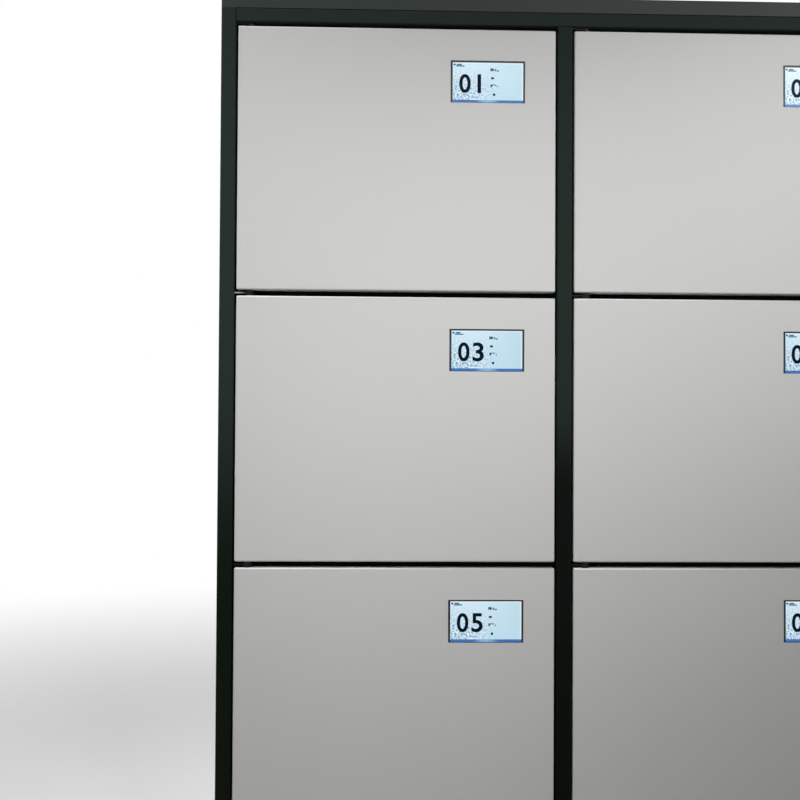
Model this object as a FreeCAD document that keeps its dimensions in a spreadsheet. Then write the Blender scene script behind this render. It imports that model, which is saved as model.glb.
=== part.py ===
import FreeCAD, Part
import math
import os

import Sketcher

# Steel storage cabinet: two columns of three lockers behind hinged doors with small screens.
# X runs right, Y runs back and Z runs up. The origin is under the middle of the base. Lengths are in mm.

COLUMNS = 2
ROWS = 3
VENT_ROWS = 8
COVER_SCREWS_PER_SIDE = 4
BRACKET_SCREW_SHARES = (0.25, 0.75)

SIZES = {
    # Whole cabinet
    "overall_depth": 500,
    "bay_width": 430,
    "sheet": 1,
    "overrun": 5,
    "fit_gap": 0.3,
    # Frame of square tube
    "post_width": 20,
    "post_depth": 40,
    "tube_wall": 1.5,
    "bottom_rail_height": 29,
    "top_rail_height": 19,
    # Base
    "foot_height": 5,
    "foot_diameter": 40,
    "base_height": 100,
    "plinth_wall": 1.5,
    "plinth_front_setback": 30,
    "plinth_rear_setback": 10,
    "plinth_flange": 30,
    "anchor_hole": 11,
    "anchor_inset": 90,
    # Roof
    "roof_height": 20,
    "roof_edge_radius": 2,
    "roof_slot_length": 300,
    "roof_slot_width": 30,
    # Shelves
    "shelf_height": 20,
    "stop_gap": 2,
    "lip_overlap": 2,
    "notch_length": 42,
    "notch_depth": 10,
    # Rear
    "wiring_depth": 54,
    "cover_thickness": 1.5,
    "cover_setback": 3.5,
    "cover_side_gap": 2,
    "vent_length": 120,
    "vent_width": 6,
    "vent_pitch": 16,
    "vent_inset": 150,
    "wire_hole": 16,
    "network_hole": 20,
    "network_hole_side": 60,
    # Doors
    "door_height": 352,
    "door_setback": 1,
    "door_thickness": 20,
    "side_gap": 2.5,
    "seam": 8,
    "door_edge_radius": 1.5,
    "liner_sheet": 1,
    # Pivot hinges
    "axis_from_edge": 16.5,
    "axis_from_front": 7.5,
    "pin_diameter": 5,
    "pin_clearance": 0.05,
    "pin_reach": 11,
    "bush_diameter": 8,
    "bush_flange_diameter": 12,
    "block_length": 30,
    "block_height": 12,
    "block_wall": 3.15,
    "bracket_plate": 2,
    "bracket_past_axis": 8.5,
    "bracket_front": 4.5,
    "bracket_corner": 6,
    "bracket_overlap": 2,
    "bracket_flange_depth": 15,
    "bracket_flange_height": 30,
    # Screens
    "cutout_from_right": 41.4,
    "cutout_from_top": 42.2,
    "screen_width": 95,
    "screen_height": 54,
    "screen_border_left": 2.8,
    "screen_border_right": 2.3,
    "screen_border_bottom": 0.6,
    "screen_border_top": 1.9,
    "frame_recess": 0.4,
    "frame_clearance": 0.1,
    "module_side": 5.25,
    "module_end": 6.6,
    "module_thickness": 2.9,
    "module_clearance": 0.3,
    "driver_thickness": 1.6,
    "driver_plug_width": 24,
    "driver_plug_height": 8,
    "driver_plug_depth": 4,
    "housing_front": 1.2,
    "housing_wall": 2,
    "housing_depth": 14,
    # Locks
    "lock_width": 30,
    "lock_wall": 1.5,
    "lock_front": 35,
    "lock_back": 27,
    "lock_below": 20,
    "lock_above": 36,
    "bar_from_door": 20,
    "rod_diameter": 4,
    "hoop_inside": 8,
    "hoop_bend": 3,
    "strike_plate_width": 22,
    "strike_plate": 2,
    "strike_screw_pitch": 22,
    "strike_screw_margin": 4,
    "pivot_behind_bar": 22,
    "pivot_below_bar": 12,
    "hook_thickness": 4,
    "hook_swing": 20,
    "hook_gap": 1,
    "hook_tip_width": 5.5,
    "hook_tip_rise": 2,
    "hook_tip_slope": 4,
    "hook_throat": 5,
    "hook_under": 7,
    "hook_tail": 20,
    "hook_tail_half": 4,
    "solenoid_width": 18,
    "solenoid_length": 24,
    "solenoid_height": 16,
    "plunger_diameter": 5,
    "plunger_behind_pivot": 14,
    # Screws
    "small_head": 7,
    "large_head": 9,
    "head_height": 2,
    "shank_diameter": 4,
    "shank_clearance": 0.2,
    "cover_screw_inset": 60,
    # Electrics in the rear space, with their heights from the top of the floor panel
    "board_width": 200,
    "board_height": 150,
    "board_thickness": 1.6,
    "board_bottom": 571,
    "board_centre_side": 150,
    "standoff_diameter": 6,
    "standoff_length": 8,
    "standoff_inset": 10,
    "chip_size": 30,
    "chip_height": 3,
    "socket_width": 12,
    "socket_height": 10,
    "supply_width": 160,
    "supply_depth": 40,
    "supply_height": 98,
    "supply_bottom": 101,
    "inlet_height": 31,
    "inlet_side_wall": 2,
    "inlet_end_wall": 4,
    "inlet_depth": 25,
    "inlet_flange_width": 50,
    "inlet_flange_tall": 30,
    "inlet_flange": 2,
    "inlet_cavity_width": 24,
    "inlet_cavity_tall": 16,
    "inlet_cavity_depth": 17,
    "inlet_pin_pitch": 7,
    "inlet_pin_width": 2,
    "inlet_pin_tall": 4,
    "inlet_pin_length": 12,
    "trunk_diameter": 6,
    "lead_diameter": 3.5,
    "lead_bend": 7,
    "feed_reach": 20,
    "feed_bend": 9,
    "lead_above_bar": 14,
}


# A size that carries its formula on the sheet and its value in millimetres


class Size:
    def __init__(self, text, number):
        self.text = text
        self.number = number

    def __add__(self, other):
        other = as_size(other)
        return Size(f"({self.text} + {other.text})", self.number + other.number)

    def __sub__(self, other):
        other = as_size(other)
        return Size(f"({self.text} - {other.text})", self.number - other.number)

    def __mul__(self, other):
        other = as_size(other)
        return Size(f"({self.text} * {other.text})", self.number * other.number)

    def __truediv__(self, other):
        other = as_size(other)
        return Size(f"({self.text} / {other.text})", self.number / other.number)

    def __neg__(self):
        return Size(f"(0 - {self.text})", -self.number)

    __radd__ = __add__
    __rmul__ = __mul__

    def __rsub__(self, other):
        return as_size(other) - self


def as_size(value):
    if isinstance(value, Size):
        return value
    return Size(str(value), value)


def tangent(angle):
    return Size(f"tan({angle.text} * 1 deg)", math.tan(math.radians(angle.number)))


def cosine(angle):
    return Size(f"cos({angle.text} * 1 deg)", math.cos(math.radians(angle.number)))


class Sheet:
    """Puts every driving size on the spreadsheet and gives it back by name."""

    def __init__(self, document, values):
        cells = document.addObject("Spreadsheet::Sheet", "sizes")
        for row, (name, number) in enumerate(values.items(), start=1):
            cells.set(f"A{row}", name)
            cells.set(f"B{row}", str(number))
            cells.setAlias(f"B{row}", name)
            setattr(self, name, Size(f"sizes.{name}", number))


document = FreeCAD.newDocument("storage_cabinet")
s = Sheet(document, SIZES)
document.recompute()

# Builders


def bind(item, path, amount):
    item.setExpression(path, as_size(amount).text)


def place(item, corner):
    for axis, amount in zip("xyz", corner):
        bind(item, f"Placement.Base.{axis}", amount)
    return item


def block(label, corner, extent):
    solid = document.addObject("Part::Box", label)
    for name, amount in zip(("Length", "Width", "Height"), extent):
        bind(solid, name, amount)
    return place(solid, corner)


TURNS = {
    "x": FreeCAD.Rotation(FreeCAD.Vector(0, 1, 0), 90),
    "y": FreeCAD.Rotation(FreeCAD.Vector(1, 0, 0), -90),
    "z": FreeCAD.Rotation(),
}


def rod(label, start, length, diameter, direction="z"):
    """Round bar from the middle of its first end along +X, +Y or +Z."""
    solid = document.addObject("Part::Cylinder", label)
    solid.Placement = FreeCAD.Placement(FreeCAD.Vector(), TURNS[direction])
    bind(solid, "Radius", diameter / 2)
    bind(solid, "Height", length)
    return place(solid, start)


def group(label, members):
    result = document.addObject("Part::Compound", label)
    result.Links = members
    return result


def fuse(label, members):
    result = document.addObject("Part::MultiFuse", label)
    result.Shapes = members
    result.Refine = True
    return result


def cut(label, base, tools):
    result = document.addObject("Part::Cut", label)
    result.Base = base
    result.Tool = tools[0] if len(tools) == 1 else group(label + "_tools", tools)
    result.Refine = True
    return result


def repeat(label, master, corner, turn=None):
    """One more copy of a master piece, placed from its own origin."""
    copy = group(label, [master])
    if turn:
        axis, angle = turn
        copy.Placement = FreeCAD.Placement(FreeCAD.Vector(), FreeCAD.Rotation(axis, angle.number))
        bind(copy, "Placement.Rotation.Angle", angle)
    return place(copy, corner)


def rounded(label, base, radius, chosen):
    """Fillet the edges of a piece that the chosen test picks by their middle point and direction."""
    document.recompute()
    edges = []
    for number, edge in enumerate(base.Shape.Edges, start=1):
        middle = edge.CenterOfMass
        along = edge.tangentAt(edge.FirstParameter)
        if chosen(middle, along):
            edges.append((number, radius.number, radius.number))
    result = document.addObject("Part::Fillet", label)
    result.Base = base
    result.Edges = edges
    return result


def profile(label, plane, loops, length, holes=(), hole_diameter=None):
    """Extrude closed outlines drawn on one of the body's own origin planes."""
    body = document.addObject("PartDesign::Body", label)
    sketch = body.newObject("Sketcher::SketchObject", label + "_outline")
    sketch.AttachmentSupport = [(origin_plane(body, plane), "")]
    sketch.MapMode = "FlatFace"
    for loop in loops:
        outline(sketch, loop)
    for centre in holes:
        ring(sketch, centre, hole_diameter)
    pad = body.newObject("PartDesign::Pad", label + "_pad")
    pad.Profile = sketch
    bind(pad, "Length", length)
    return body


def origin_plane(body, role):
    return [item for item in body.Origin.OriginFeatures if item.Role == role][0]


def outline(sketch, points):
    first = sketch.GeometryCount
    count = len(points)
    corners = [FreeCAD.Vector(as_size(u).number, as_size(v).number, 0) for u, v in points]
    for index in range(count):
        sketch.addGeometry(Part.LineSegment(corners[index], corners[(index + 1) % count]), False)
    for index, (across, up) in enumerate(points):
        line = first + index
        following = first + (index + 1) % count
        sketch.addConstraint(Sketcher.Constraint("Coincident", line, 2, following, 1))
        fix(sketch, "DistanceX", line, 1, across)
        fix(sketch, "DistanceY", line, 1, up)


def ring(sketch, centre, diameter):
    middle = FreeCAD.Vector(as_size(centre[0]).number, as_size(centre[1]).number, 0)
    radius = diameter / 2
    circle = sketch.addGeometry(Part.Circle(middle, FreeCAD.Vector(0, 0, 1), radius.number), False)
    fix(sketch, "DistanceX", circle, 3, centre[0])
    fix(sketch, "DistanceY", circle, 3, centre[1])
    number = sketch.addConstraint(Sketcher.Constraint("Radius", circle, radius.number))
    bind(sketch, f"Constraints[{number}]", radius)


def fix(sketch, kind, line, end, amount):
    """Hold one sketch point at its distance from the origin."""
    value = float(as_size(amount).number)
    number = sketch.addConstraint(Sketcher.Constraint(kind, -1, 1, line, end, value))
    bind(sketch, f"Constraints[{number}]", amount)


def rectangle(left, low, width, height):
    return [(left, low), (left + width, low), (left + width, low + height), (left, low + height)]


def bent_rod(points, bends, diameter):
    """Round rod along straight runs joined by tangent arcs, and the length of its centre line."""
    corners = [FreeCAD.Vector(*[as_size(value).number for value in point]) for point in points]
    edges = []
    start = corners[0]
    for before, corner, after, bend in zip(corners, corners[1:], corners[2:], bends):
        come = (corner - before).normalize()
        leave = (after - corner).normalize()
        turn = come.getAngle(leave)
        cut_back = bend.number * math.tan(turn / 2)
        first = corner - come * cut_back
        last = corner + leave * cut_back
        inward = (leave - come).normalize()
        centre = corner + inward * (bend.number / math.cos(turn / 2))
        middle = centre - inward * bend.number
        edges.append(Part.LineSegment(start, first).toShape())
        edges.append(Part.Arc(first, middle, last).toShape())
        start = last
    edges.append(Part.LineSegment(start, corners[-1]).toShape())
    path = Part.Wire(edges)
    heading = (corners[1] - corners[0]).normalize()
    section = Part.Wire([Part.makeCircle(diameter.number / 2, corners[0], heading)])
    return path.makePipeShell([section], True, False), path.Length


def swept(label, shape):
    item = document.addObject("Part::Feature", label)
    item.Shape = shape
    item.Placement = FreeCAD.Placement()
    return item


# Main lines of the cabinet

half_width = (COLUMNS * s.bay_width + (COLUMNS + 1) * s.post_width) / 2
front = -s.overall_depth / 2
rear = s.overall_depth / 2
rail_top = s.base_height + s.bottom_rail_height
half_plate = s.bracket_plate / 2
row_pitch = s.door_height + s.seam


def boundary(row):
    """Height of the middle of the seam under a row, counted from the bottom."""
    return rail_top + half_plate + row * row_pitch


def bay_left(column):
    return -half_width + s.post_width + column * (s.bay_width + s.post_width)


def row_centre(row):
    return boundary(row) + row_pitch / 2


top_rail_bottom = boundary(ROWS) + half_plate
roof_bottom = top_rail_bottom + s.top_rail_height
inner_width = 2 * (half_width - s.post_width)
post_back = front + s.post_depth
cover_front = rear - s.cover_setback - s.cover_thickness
back_panel_rear = cover_front - s.wiring_depth
back_panel_front = back_panel_rear - s.sheet
lip_front = front + s.door_setback + s.door_thickness + s.stop_gap

door_width = s.bay_width - 2 * s.side_gap
door_front = front + s.door_setback
door_back = door_front + s.door_thickness


def door_corner(column, row):
    return (bay_left(column) + s.side_gap, door_front, boundary(row) + s.seam / 2)


# Lock places, from the middle of the bar of the strike

bar_y = door_back + s.bar_from_door
pivot_y = bar_y + s.pivot_behind_bar


def lock_x(column):
    return bay_left(column) + s.bay_width - s.lock_width / 2


def pivot_z(row):
    return row_centre(row) - s.pivot_below_bar


def lockers():
    """Every locker as its number, column and row from the bottom, numbered from the top left."""
    number = 0
    for row in reversed(range(ROWS)):
        for column in range(COLUMNS):
            number += 1
            yield f"{number:02d}", column, row


subparts = []


def keep(item):
    subparts.append(item)
    return item


# Frame


def tube(label, plane, corner, across, up, length):
    wall = s.tube_wall
    loops = [
        rectangle(as_size(0), as_size(0), across, up),
        rectangle(wall, wall, across - 2 * wall, up - 2 * wall),
    ]
    return place(profile(label, plane, loops, length), corner)


def make_posts():
    side_height = roof_bottom - s.base_height
    lefts = (-half_width, half_width - s.post_width)
    for label, left in zip(("left_post", "right_post"), lefts):
        corner = (left, front, s.base_height)
        keep(tube(label, "XY_Plane", corner, s.post_width, s.post_depth, side_height))
    corner = (-s.post_width / 2, front, rail_top)
    height = top_rail_bottom - rail_top
    keep(tube("centre_post", "XY_Plane", corner, s.post_width, s.post_depth, height))


def make_cross_rails():
    left = -half_width + s.post_width
    low_corner = (left, front, s.base_height)
    low = tube("bottom_rail", "YZ_Plane", low_corner, s.post_depth, s.bottom_rail_height, inner_width)
    high_corner = (left, front, top_rail_bottom)
    high = tube("top_rail", "YZ_Plane", high_corner, s.post_depth, s.top_rail_height, inner_width)
    keep(group("cross_rails", [low, high]))


# Walls


def lead_z(row):
    return row_centre(row) + s.lead_above_bar


lead_y = pivot_y + s.plunger_behind_pivot


def skin_holes(label, left, reach, y):
    """Round tools through one skin of a hollow wall, one in each row."""
    return [rod(f"{label}_{row}", (left, y, lead_z(row)), reach, s.wire_hole, "x") for row in range(ROWS)]


def make_side_panels():
    depth = cover_front - post_back
    height = roof_bottom - s.base_height
    hollow = rectangle(s.sheet, s.sheet, s.post_width - 2 * s.sheet, depth - 2 * s.sheet)
    lefts = {"left_side_panel": -half_width, "right_side_panel": half_width - s.post_width}
    inner_skins = {
        "left_side_panel": -half_width + s.post_width / 2,
        "right_side_panel": half_width - 3 * s.post_width / 2,
    }
    for label, left in lefts.items():
        loops = [rectangle(as_size(0), as_size(0), s.post_width, depth), hollow]
        wall = profile(label + "_fold", "XY_Plane", loops, height)
        place(wall, (left, post_back, s.base_height))
        holes = skin_holes(label + "_rear_hole", inner_skins[label], s.post_width, trunk_y)
        if label == "right_side_panel":
            holes += skin_holes(label + "_lock_hole", inner_skins[label], s.post_width, lead_y)
        keep(cut(label, wall, holes))


def make_centre_partition():
    depth = back_panel_front - post_back
    width = s.post_width
    sheet = s.sheet
    channel = [
        (as_size(0), as_size(0)),
        (width, as_size(0)),
        (width, depth),
        (width - sheet, depth),
        (width - sheet, sheet),
        (sheet, sheet),
        (sheet, depth),
        (as_size(0), depth),
    ]
    wall = profile("centre_partition_fold", "XY_Plane", [channel], roof_bottom - rail_top)
    place(wall, (-width / 2, post_back, rail_top))
    holes = skin_holes("centre_partition_lock_hole", -width, width, lead_y)
    keep(cut("centre_partition", wall, holes))


def make_roof_panel():
    corner = (-half_width, front, roof_bottom)
    whole = block("roof_block", corner, (2 * half_width, s.overall_depth, s.roof_height))
    bottom = roof_bottom.number

    def outer_edge(middle, along):
        return middle.z > bottom and abs(along.z) < 0.5 or abs(along.z) > 0.5

    smooth = rounded("roof_rounded", whole, s.roof_edge_radius, outer_edge)
    sheet = s.sheet
    hollow = block(
        "roof_hollow",
        (-half_width + sheet, front + sheet, roof_bottom + sheet),
        (2 * (half_width - sheet), s.overall_depth - 2 * sheet, s.roof_height - 2 * sheet),
    )
    slot_y = back_panel_rear + (s.wiring_depth - s.roof_slot_width) / 2
    slot = block(
        "roof_slot",
        (-s.roof_slot_length / 2, slot_y, roof_bottom - s.overrun),
        (s.roof_slot_length, s.roof_slot_width, s.overrun + 2 * sheet),
    )
    keep(cut("roof_panel", smooth, [fuse("roof_space", [hollow, slot])]))


def make_floor_panel():
    left = -half_width + s.post_width
    depth = cover_front - post_back
    whole = block(
        "floor_block", (left, post_back, s.base_height), (inner_width, depth, s.bottom_rail_height)
    )
    under = block(
        "floor_under",
        (left + s.sheet, post_back + s.sheet, s.base_height - s.overrun),
        (inner_width - 2 * s.sheet, depth - 2 * s.sheet, s.overrun + s.bottom_rail_height - s.sheet),
    )
    keep(cut("floor_panel", whole, [under]))


def make_back_panel():
    left = -half_width + s.post_width
    plate = block(
        "back_plate", (left, back_panel_front, rail_top), (inner_width, s.sheet, roof_bottom - rail_top)
    )
    holes = []
    for row in range(ROWS):
        start = (as_size(0), back_panel_front - s.overrun, lead_z(row))
        holes.append(rod(f"back_hole_{row}", start, 2 * s.overrun + s.sheet, s.wire_hole, "y"))
    keep(cut("back_panel", plate, holes))


def make_rear_service_cover():
    width = 2 * (half_width - s.cover_side_gap)
    bottom = s.base_height + s.cover_side_gap
    height = roof_bottom - s.cover_side_gap - bottom
    plate = block("cover_plate", (-width / 2, cover_front, bottom), (width, s.cover_thickness, height))
    through = s.cover_thickness + 2 * s.overrun
    y = cover_front - s.overrun
    tools = []
    for side in (-1, 1):
        for index in range(VENT_ROWS):
            x = side * (half_width / 2) - s.vent_length / 2
            z = roof_bottom - s.vent_inset - index * s.vent_pitch
            tools.append(block(f"vent_{side + 1}_{index}", (x, y, z), (s.vent_length, through, s.vent_width)))
    tools.append(
        block(
            "inlet_opening",
            (inlet_x - inlet_width / 2 - s.fit_gap, y, inlet_z - inlet_tall / 2 - s.fit_gap),
            (inlet_width + 2 * s.fit_gap, through, inlet_tall + 2 * s.fit_gap),
        )
    )
    start = (inlet_x + s.network_hole_side, y, inlet_z)
    tools.append(rod("network_opening", start, through, s.network_hole, "y"))
    for index, (x, z) in enumerate(cover_screw_places()):
        diameter = s.shank_diameter + 2 * s.shank_clearance
        tools.append(rod(f"cover_screw_hole_{index}", (x, y, z), through, diameter, "y"))
    keep(cut("rear_service_cover", plate, tools))


def cover_screw_places():
    low = s.base_height + s.cover_screw_inset
    high = roof_bottom - s.cover_screw_inset
    x = half_width - s.post_width / 2
    pitch = (high - low) / (COVER_SCREWS_PER_SIDE - 1)
    return [(side * x, low + step * pitch) for side in (-1, 1) for step in range(COVER_SCREWS_PER_SIDE)]


def make_shelves():
    sheet = s.sheet
    depth = back_panel_front - lip_front
    height = s.shelf_height
    pan = block("shelf_block", (0, 0, -height), (s.bay_width, depth, height))
    under = block(
        "shelf_under",
        (sheet, sheet, -height - s.overrun),
        (s.bay_width - 2 * sheet, depth - 2 * sheet, height + s.overrun - sheet),
    )
    lip_height = s.seam / 2 + half_plate + s.lip_overlap
    lip = block("shelf_lip", (0, 0, 0), (s.bay_width, sheet, lip_height))
    well = block("shelf_well", (0, 0, -height), (s.notch_length + sheet, s.notch_depth + sheet, height))
    folded = fuse("shelf_folded", [cut("shelf_pan", pan, [under]), lip, well])
    notch = block(
        "shelf_notch",
        (-s.overrun, -s.overrun, -height - s.overrun),
        (s.notch_length + s.overrun, s.notch_depth + s.overrun, height + lip_height + 2 * s.overrun),
    )
    shelf = cut("shelf", folded, [notch])
    shelves = []
    for row in range(1, ROWS):
        for column in range(COLUMNS):
            corner = (bay_left(column), lip_front, boundary(row) - half_plate)
            shelves.append(repeat(f"shelf_{row}_{column}", shelf, corner))
    keep(group("shelves", shelves))


# Base


def plinth_front():
    return front + s.plinth_front_setback


def plinth_depth():
    return s.overall_depth - s.plinth_front_setback - s.plinth_rear_setback


def anchor_places():
    x = half_width - s.anchor_inset
    y_front = plinth_front() + s.plinth_flange / 2
    y_rear = plinth_front() + plinth_depth() - s.plinth_flange / 2
    return [(side * x, y) for side in (-1, 1) for y in (y_front, y_rear)]


def make_plinth():
    height = s.base_height - s.foot_height
    wall = s.plinth_wall
    whole = block(
        "plinth_block", (-half_width, plinth_front(), s.foot_height), (2 * half_width, plinth_depth(), height)
    )
    inside = block(
        "plinth_inside",
        (-half_width + wall, plinth_front() + wall, s.foot_height + wall),
        (2 * (half_width - wall), plinth_depth() - 2 * wall, height - 2 * wall),
    )
    flange = s.plinth_flange
    through = block(
        "plinth_through",
        (-half_width + flange, plinth_front() + flange, s.foot_height - s.overrun),
        (2 * (half_width - flange), plinth_depth() - 2 * flange, height + 2 * s.overrun),
    )
    tools = [fuse("plinth_space", [inside, through])]
    folded = cut("plinth_folded", whole, tools)
    holes = []
    for index, (x, y) in enumerate(anchor_places()):
        start = (x, y, s.foot_height - s.overrun)
        holes.append(rod(f"anchor_hole_{index}", start, 2 * s.overrun, s.anchor_hole))
    keep(cut("plinth", folded, holes))


def make_foot_pads():
    inset = s.foot_diameter / 2
    low_y = plinth_front() + inset
    high_y = plinth_front() + plinth_depth() - inset
    pads = []
    for side in (-1, 1):
        for y in (low_y, high_y):
            start = (side * (half_width - inset), y, 0)
            pads.append(rod(f"foot_pad_{len(pads)}", start, s.foot_height, s.foot_diameter))
    keep(group("foot_pads", pads))


# Pivot hinges

axis_y = door_front + s.axis_from_front
bush_flange_height = s.seam / 2 - half_plate - s.fit_gap
sleeve_end = s.seam / 2 - half_plate + s.pin_reach
bracket_front_y = axis_y - s.bracket_front
bracket_back_y = lip_front + s.notch_depth + s.bracket_overlap
bracket_flange_y = post_back - s.fit_gap - s.bracket_flange_depth


def axis_x(column):
    return bay_left(column) + s.side_gap + s.axis_from_edge


def make_hinge_brackets():
    """Each bracket is a flat pivot plate with a side plate welded upright on its end."""
    length = s.side_gap + s.axis_from_edge + s.bracket_past_axis
    corner = s.bracket_corner
    depth = bracket_back_y - bracket_front_y
    points = [
        (as_size(0), as_size(0)),
        (length - corner, as_size(0)),
        (length, corner),
        (length, depth),
        (as_size(0), depth),
    ]
    centre = (s.side_gap + s.axis_from_edge, s.bracket_front)
    bore = s.pin_diameter + 2 * s.pin_clearance
    plate = profile("bracket_plate", "XY_Plane", [points], s.bracket_plate, [centre], bore)
    flange_y = bracket_flange_y - bracket_front_y
    flange = block(
        "bracket_flange",
        (0, flange_y, s.bracket_plate),
        (s.bracket_plate, s.bracket_flange_depth, s.bracket_flange_height - s.bracket_plate),
    )
    holes = []
    for index, height in enumerate(bracket_screw_heights()):
        start = (-s.overrun, flange_y + s.bracket_flange_depth / 2, height)
        diameter = s.shank_diameter + 2 * s.shank_clearance
        holes.append(rod(f"bracket_hole_{index}", start, s.bracket_plate + 2 * s.overrun, diameter, "x"))
    bracket = group("bracket", [plate, cut("bracket_side", flange, holes)])
    turned = document.addObject("Part::Mirroring", "bracket_turned")
    turned.Source = bracket
    turned.Normal = FreeCAD.Vector(0, 0, 1)
    brackets = []
    for column in range(COLUMNS):
        for row in range(ROWS + 1):
            master = turned if row == ROWS else bracket
            height = boundary(row) + half_plate if row == ROWS else boundary(row) - half_plate
            corner = (bay_left(column), bracket_front_y, height)
            brackets.append(repeat(f"bracket_{column}_{row}", master, corner))
    keep(group("hinge_brackets", brackets))


def bracket_screw_heights():
    """Heights of the two screws on a bracket's flange, from the foot of its plate."""
    free = s.bracket_flange_height - s.bracket_plate
    return [s.bracket_plate + free * share for share in BRACKET_SCREW_SHARES]


def make_hinge_pins():
    reach = half_plate + sleeve_end
    pins = []
    for column in range(COLUMNS):
        for row in range(ROWS + 1):
            low = half_plate if row == 0 else reach
            high = half_plate if row == ROWS else reach
            start = (axis_x(column), axis_y, boundary(row) - low)
            pins.append(rod(f"pin_{column}_{row}", start, low + high, s.pin_diameter))
    keep(group("hinge_pins", pins))


def make_hinge_bushes():
    flange = rod("bush_flange", (0, 0, 0), bush_flange_height, s.bush_flange_diameter)
    sleeve = rod("bush_sleeve", (0, 0, 0), sleeve_end, s.bush_diameter)
    bore = rod(
        "bush_bore",
        (0, 0, -s.overrun),
        sleeve_end + 2 * s.overrun,
        s.pin_diameter + 2 * s.pin_clearance,
    )
    bush = cut("bush", fuse("bush_blank", [flange, sleeve]), [bore])
    turned = document.addObject("Part::Mirroring", "bush_turned")
    turned.Source = bush
    turned.Normal = FreeCAD.Vector(0, 0, 1)
    bushes = []
    for column in range(COLUMNS):
        for row in range(ROWS):
            low = (axis_x(column), axis_y, boundary(row) + half_plate)
            high = (axis_x(column), axis_y, boundary(row + 1) - half_plate)
            bushes.append(repeat(f"bush_{column}_{row}_low", bush, low))
            bushes.append(repeat(f"bush_{column}_{row}_high", turned, high))
    keep(group("hinge_bushes", bushes))


# Doors, each drawn from its lower left front corner

cutout_width = s.screen_border_left + s.screen_width + s.screen_border_right
cutout_height = s.screen_border_bottom + s.screen_height + s.screen_border_top
cutout_left = door_width - s.cutout_from_right - cutout_width
cutout_bottom = s.door_height - s.cutout_from_top - cutout_height
screen_left = cutout_left + s.screen_border_left
screen_bottom = cutout_bottom + s.screen_border_bottom
module_width = s.screen_width + 2 * s.module_side
module_height = s.screen_height + 2 * s.module_end
module_left = screen_left - s.module_side
module_bottom = screen_bottom - s.module_end
module_front = s.sheet + s.housing_front
strike_x = door_width + s.side_gap - s.lock_width / 2
pivot_bore = s.bush_diameter + 2 * s.pin_clearance
block_depth = s.axis_from_front - s.sheet + pivot_bore / 2 + s.block_wall
liner_flange = s.door_thickness - s.sheet - block_depth - s.fit_gap


def door_shell():
    sheet = s.sheet
    whole = block("door_block", (0, 0, 0), (door_width, s.door_thickness, s.door_height))
    back = s.door_thickness.number

    def outer_edge(middle, along):
        return middle.y < back

    smooth = rounded("door_rounded", whole, s.door_edge_radius, outer_edge)
    hollow = block(
        "door_hollow",
        (sheet, sheet, sheet),
        (door_width - 2 * sheet, s.door_thickness + s.overrun, s.door_height - 2 * sheet),
    )
    opening = block(
        "door_cutout",
        (cutout_left, -s.overrun, cutout_bottom),
        (cutout_width, 2 * s.overrun, cutout_height),
    )
    pan = cut("door_pan", smooth, [fuse("door_space", [hollow, opening])])
    rise = s.block_height - sheet
    low = block("pivot_block_low", (sheet, sheet, sheet), (s.block_length, block_depth, rise))
    high_z = s.door_height - s.block_height
    high = block("pivot_block_high", (sheet, sheet, high_z), (s.block_length, block_depth, rise))
    welded = fuse("door_welded", [pan, low, high])
    length = s.block_height + 2 * s.overrun
    bores = []
    for name, z in (("low", -s.overrun), ("high", high_z - s.overrun)):
        start = (s.axis_from_edge, s.axis_from_front, z)
        bores.append(rod(f"pivot_bore_{name}", start, length, pivot_bore))
    return cut("door_shell", welded, bores)


def door_liner():
    sheet = s.sheet
    low_y = s.door_thickness - liner_flange
    width = door_width - 2 * sheet
    height = s.door_height - 2 * sheet
    whole = block("liner_block", (sheet, low_y, sheet), (width, liner_flange, height))
    wall = s.liner_sheet
    inside = block(
        "liner_inside",
        (sheet + wall, low_y - s.overrun, sheet + wall),
        (width - 2 * wall, liner_flange - wall + s.overrun, height - 2 * wall),
    )
    return cut("door_liner", whole, [inside])


def display_housing():
    wall = s.housing_wall + s.module_clearance
    case = block(
        "housing_case",
        (module_left - wall, s.sheet, module_bottom - wall),
        (module_width + 2 * wall, s.housing_depth, module_height + 2 * wall),
    )
    gap = s.frame_clearance
    frame = block(
        "housing_frame",
        (cutout_left + gap, s.frame_recess, cutout_bottom + gap),
        (cutout_width - 2 * gap, s.sheet - s.frame_recess, cutout_height - 2 * gap),
    )
    window = block(
        "housing_window",
        (screen_left, -s.overrun, screen_bottom),
        (s.screen_width, module_front + s.overrun, s.screen_height),
    )
    gap = s.module_clearance
    cavity = block(
        "housing_cavity",
        (module_left - gap, module_front, module_bottom - gap),
        (module_width + 2 * gap, s.housing_depth + s.overrun, module_height + 2 * gap),
    )
    blank = fuse("housing_blank", [case, frame])
    return cut("display_housing", blank, [fuse("housing_space", [window, cavity])])


def display_screen():
    panel = block(
        "screen_panel",
        (module_left, module_front, module_bottom),
        (module_width, s.module_thickness, module_height),
    )
    board_front = module_front + s.module_thickness
    board = block(
        "screen_board",
        (module_left, board_front, module_bottom),
        (module_width, s.driver_thickness, module_height),
    )
    plug = block(
        "screen_plug",
        (
            module_left + (module_width - s.driver_plug_width) / 2,
            board_front + s.driver_thickness,
            module_bottom + s.driver_plug_height,
        ),
        (s.driver_plug_width, s.driver_plug_depth, s.driver_plug_height),
    )
    return group("display_screen", [panel, fuse("screen_driver", [board, plug])])


def screw(label, seat, length, head, direction):
    """Screw with its head on the seat; the shank runs back along the same axis."""
    axis = "xyz".index(direction)
    start = list(seat)
    start[axis] = start[axis] - length
    shank = rod(label + "_shank", start, length, s.shank_diameter, direction)
    top = rod(label + "_head", seat, s.head_height, head, direction)
    return fuse(label, [shank, top])


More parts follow.
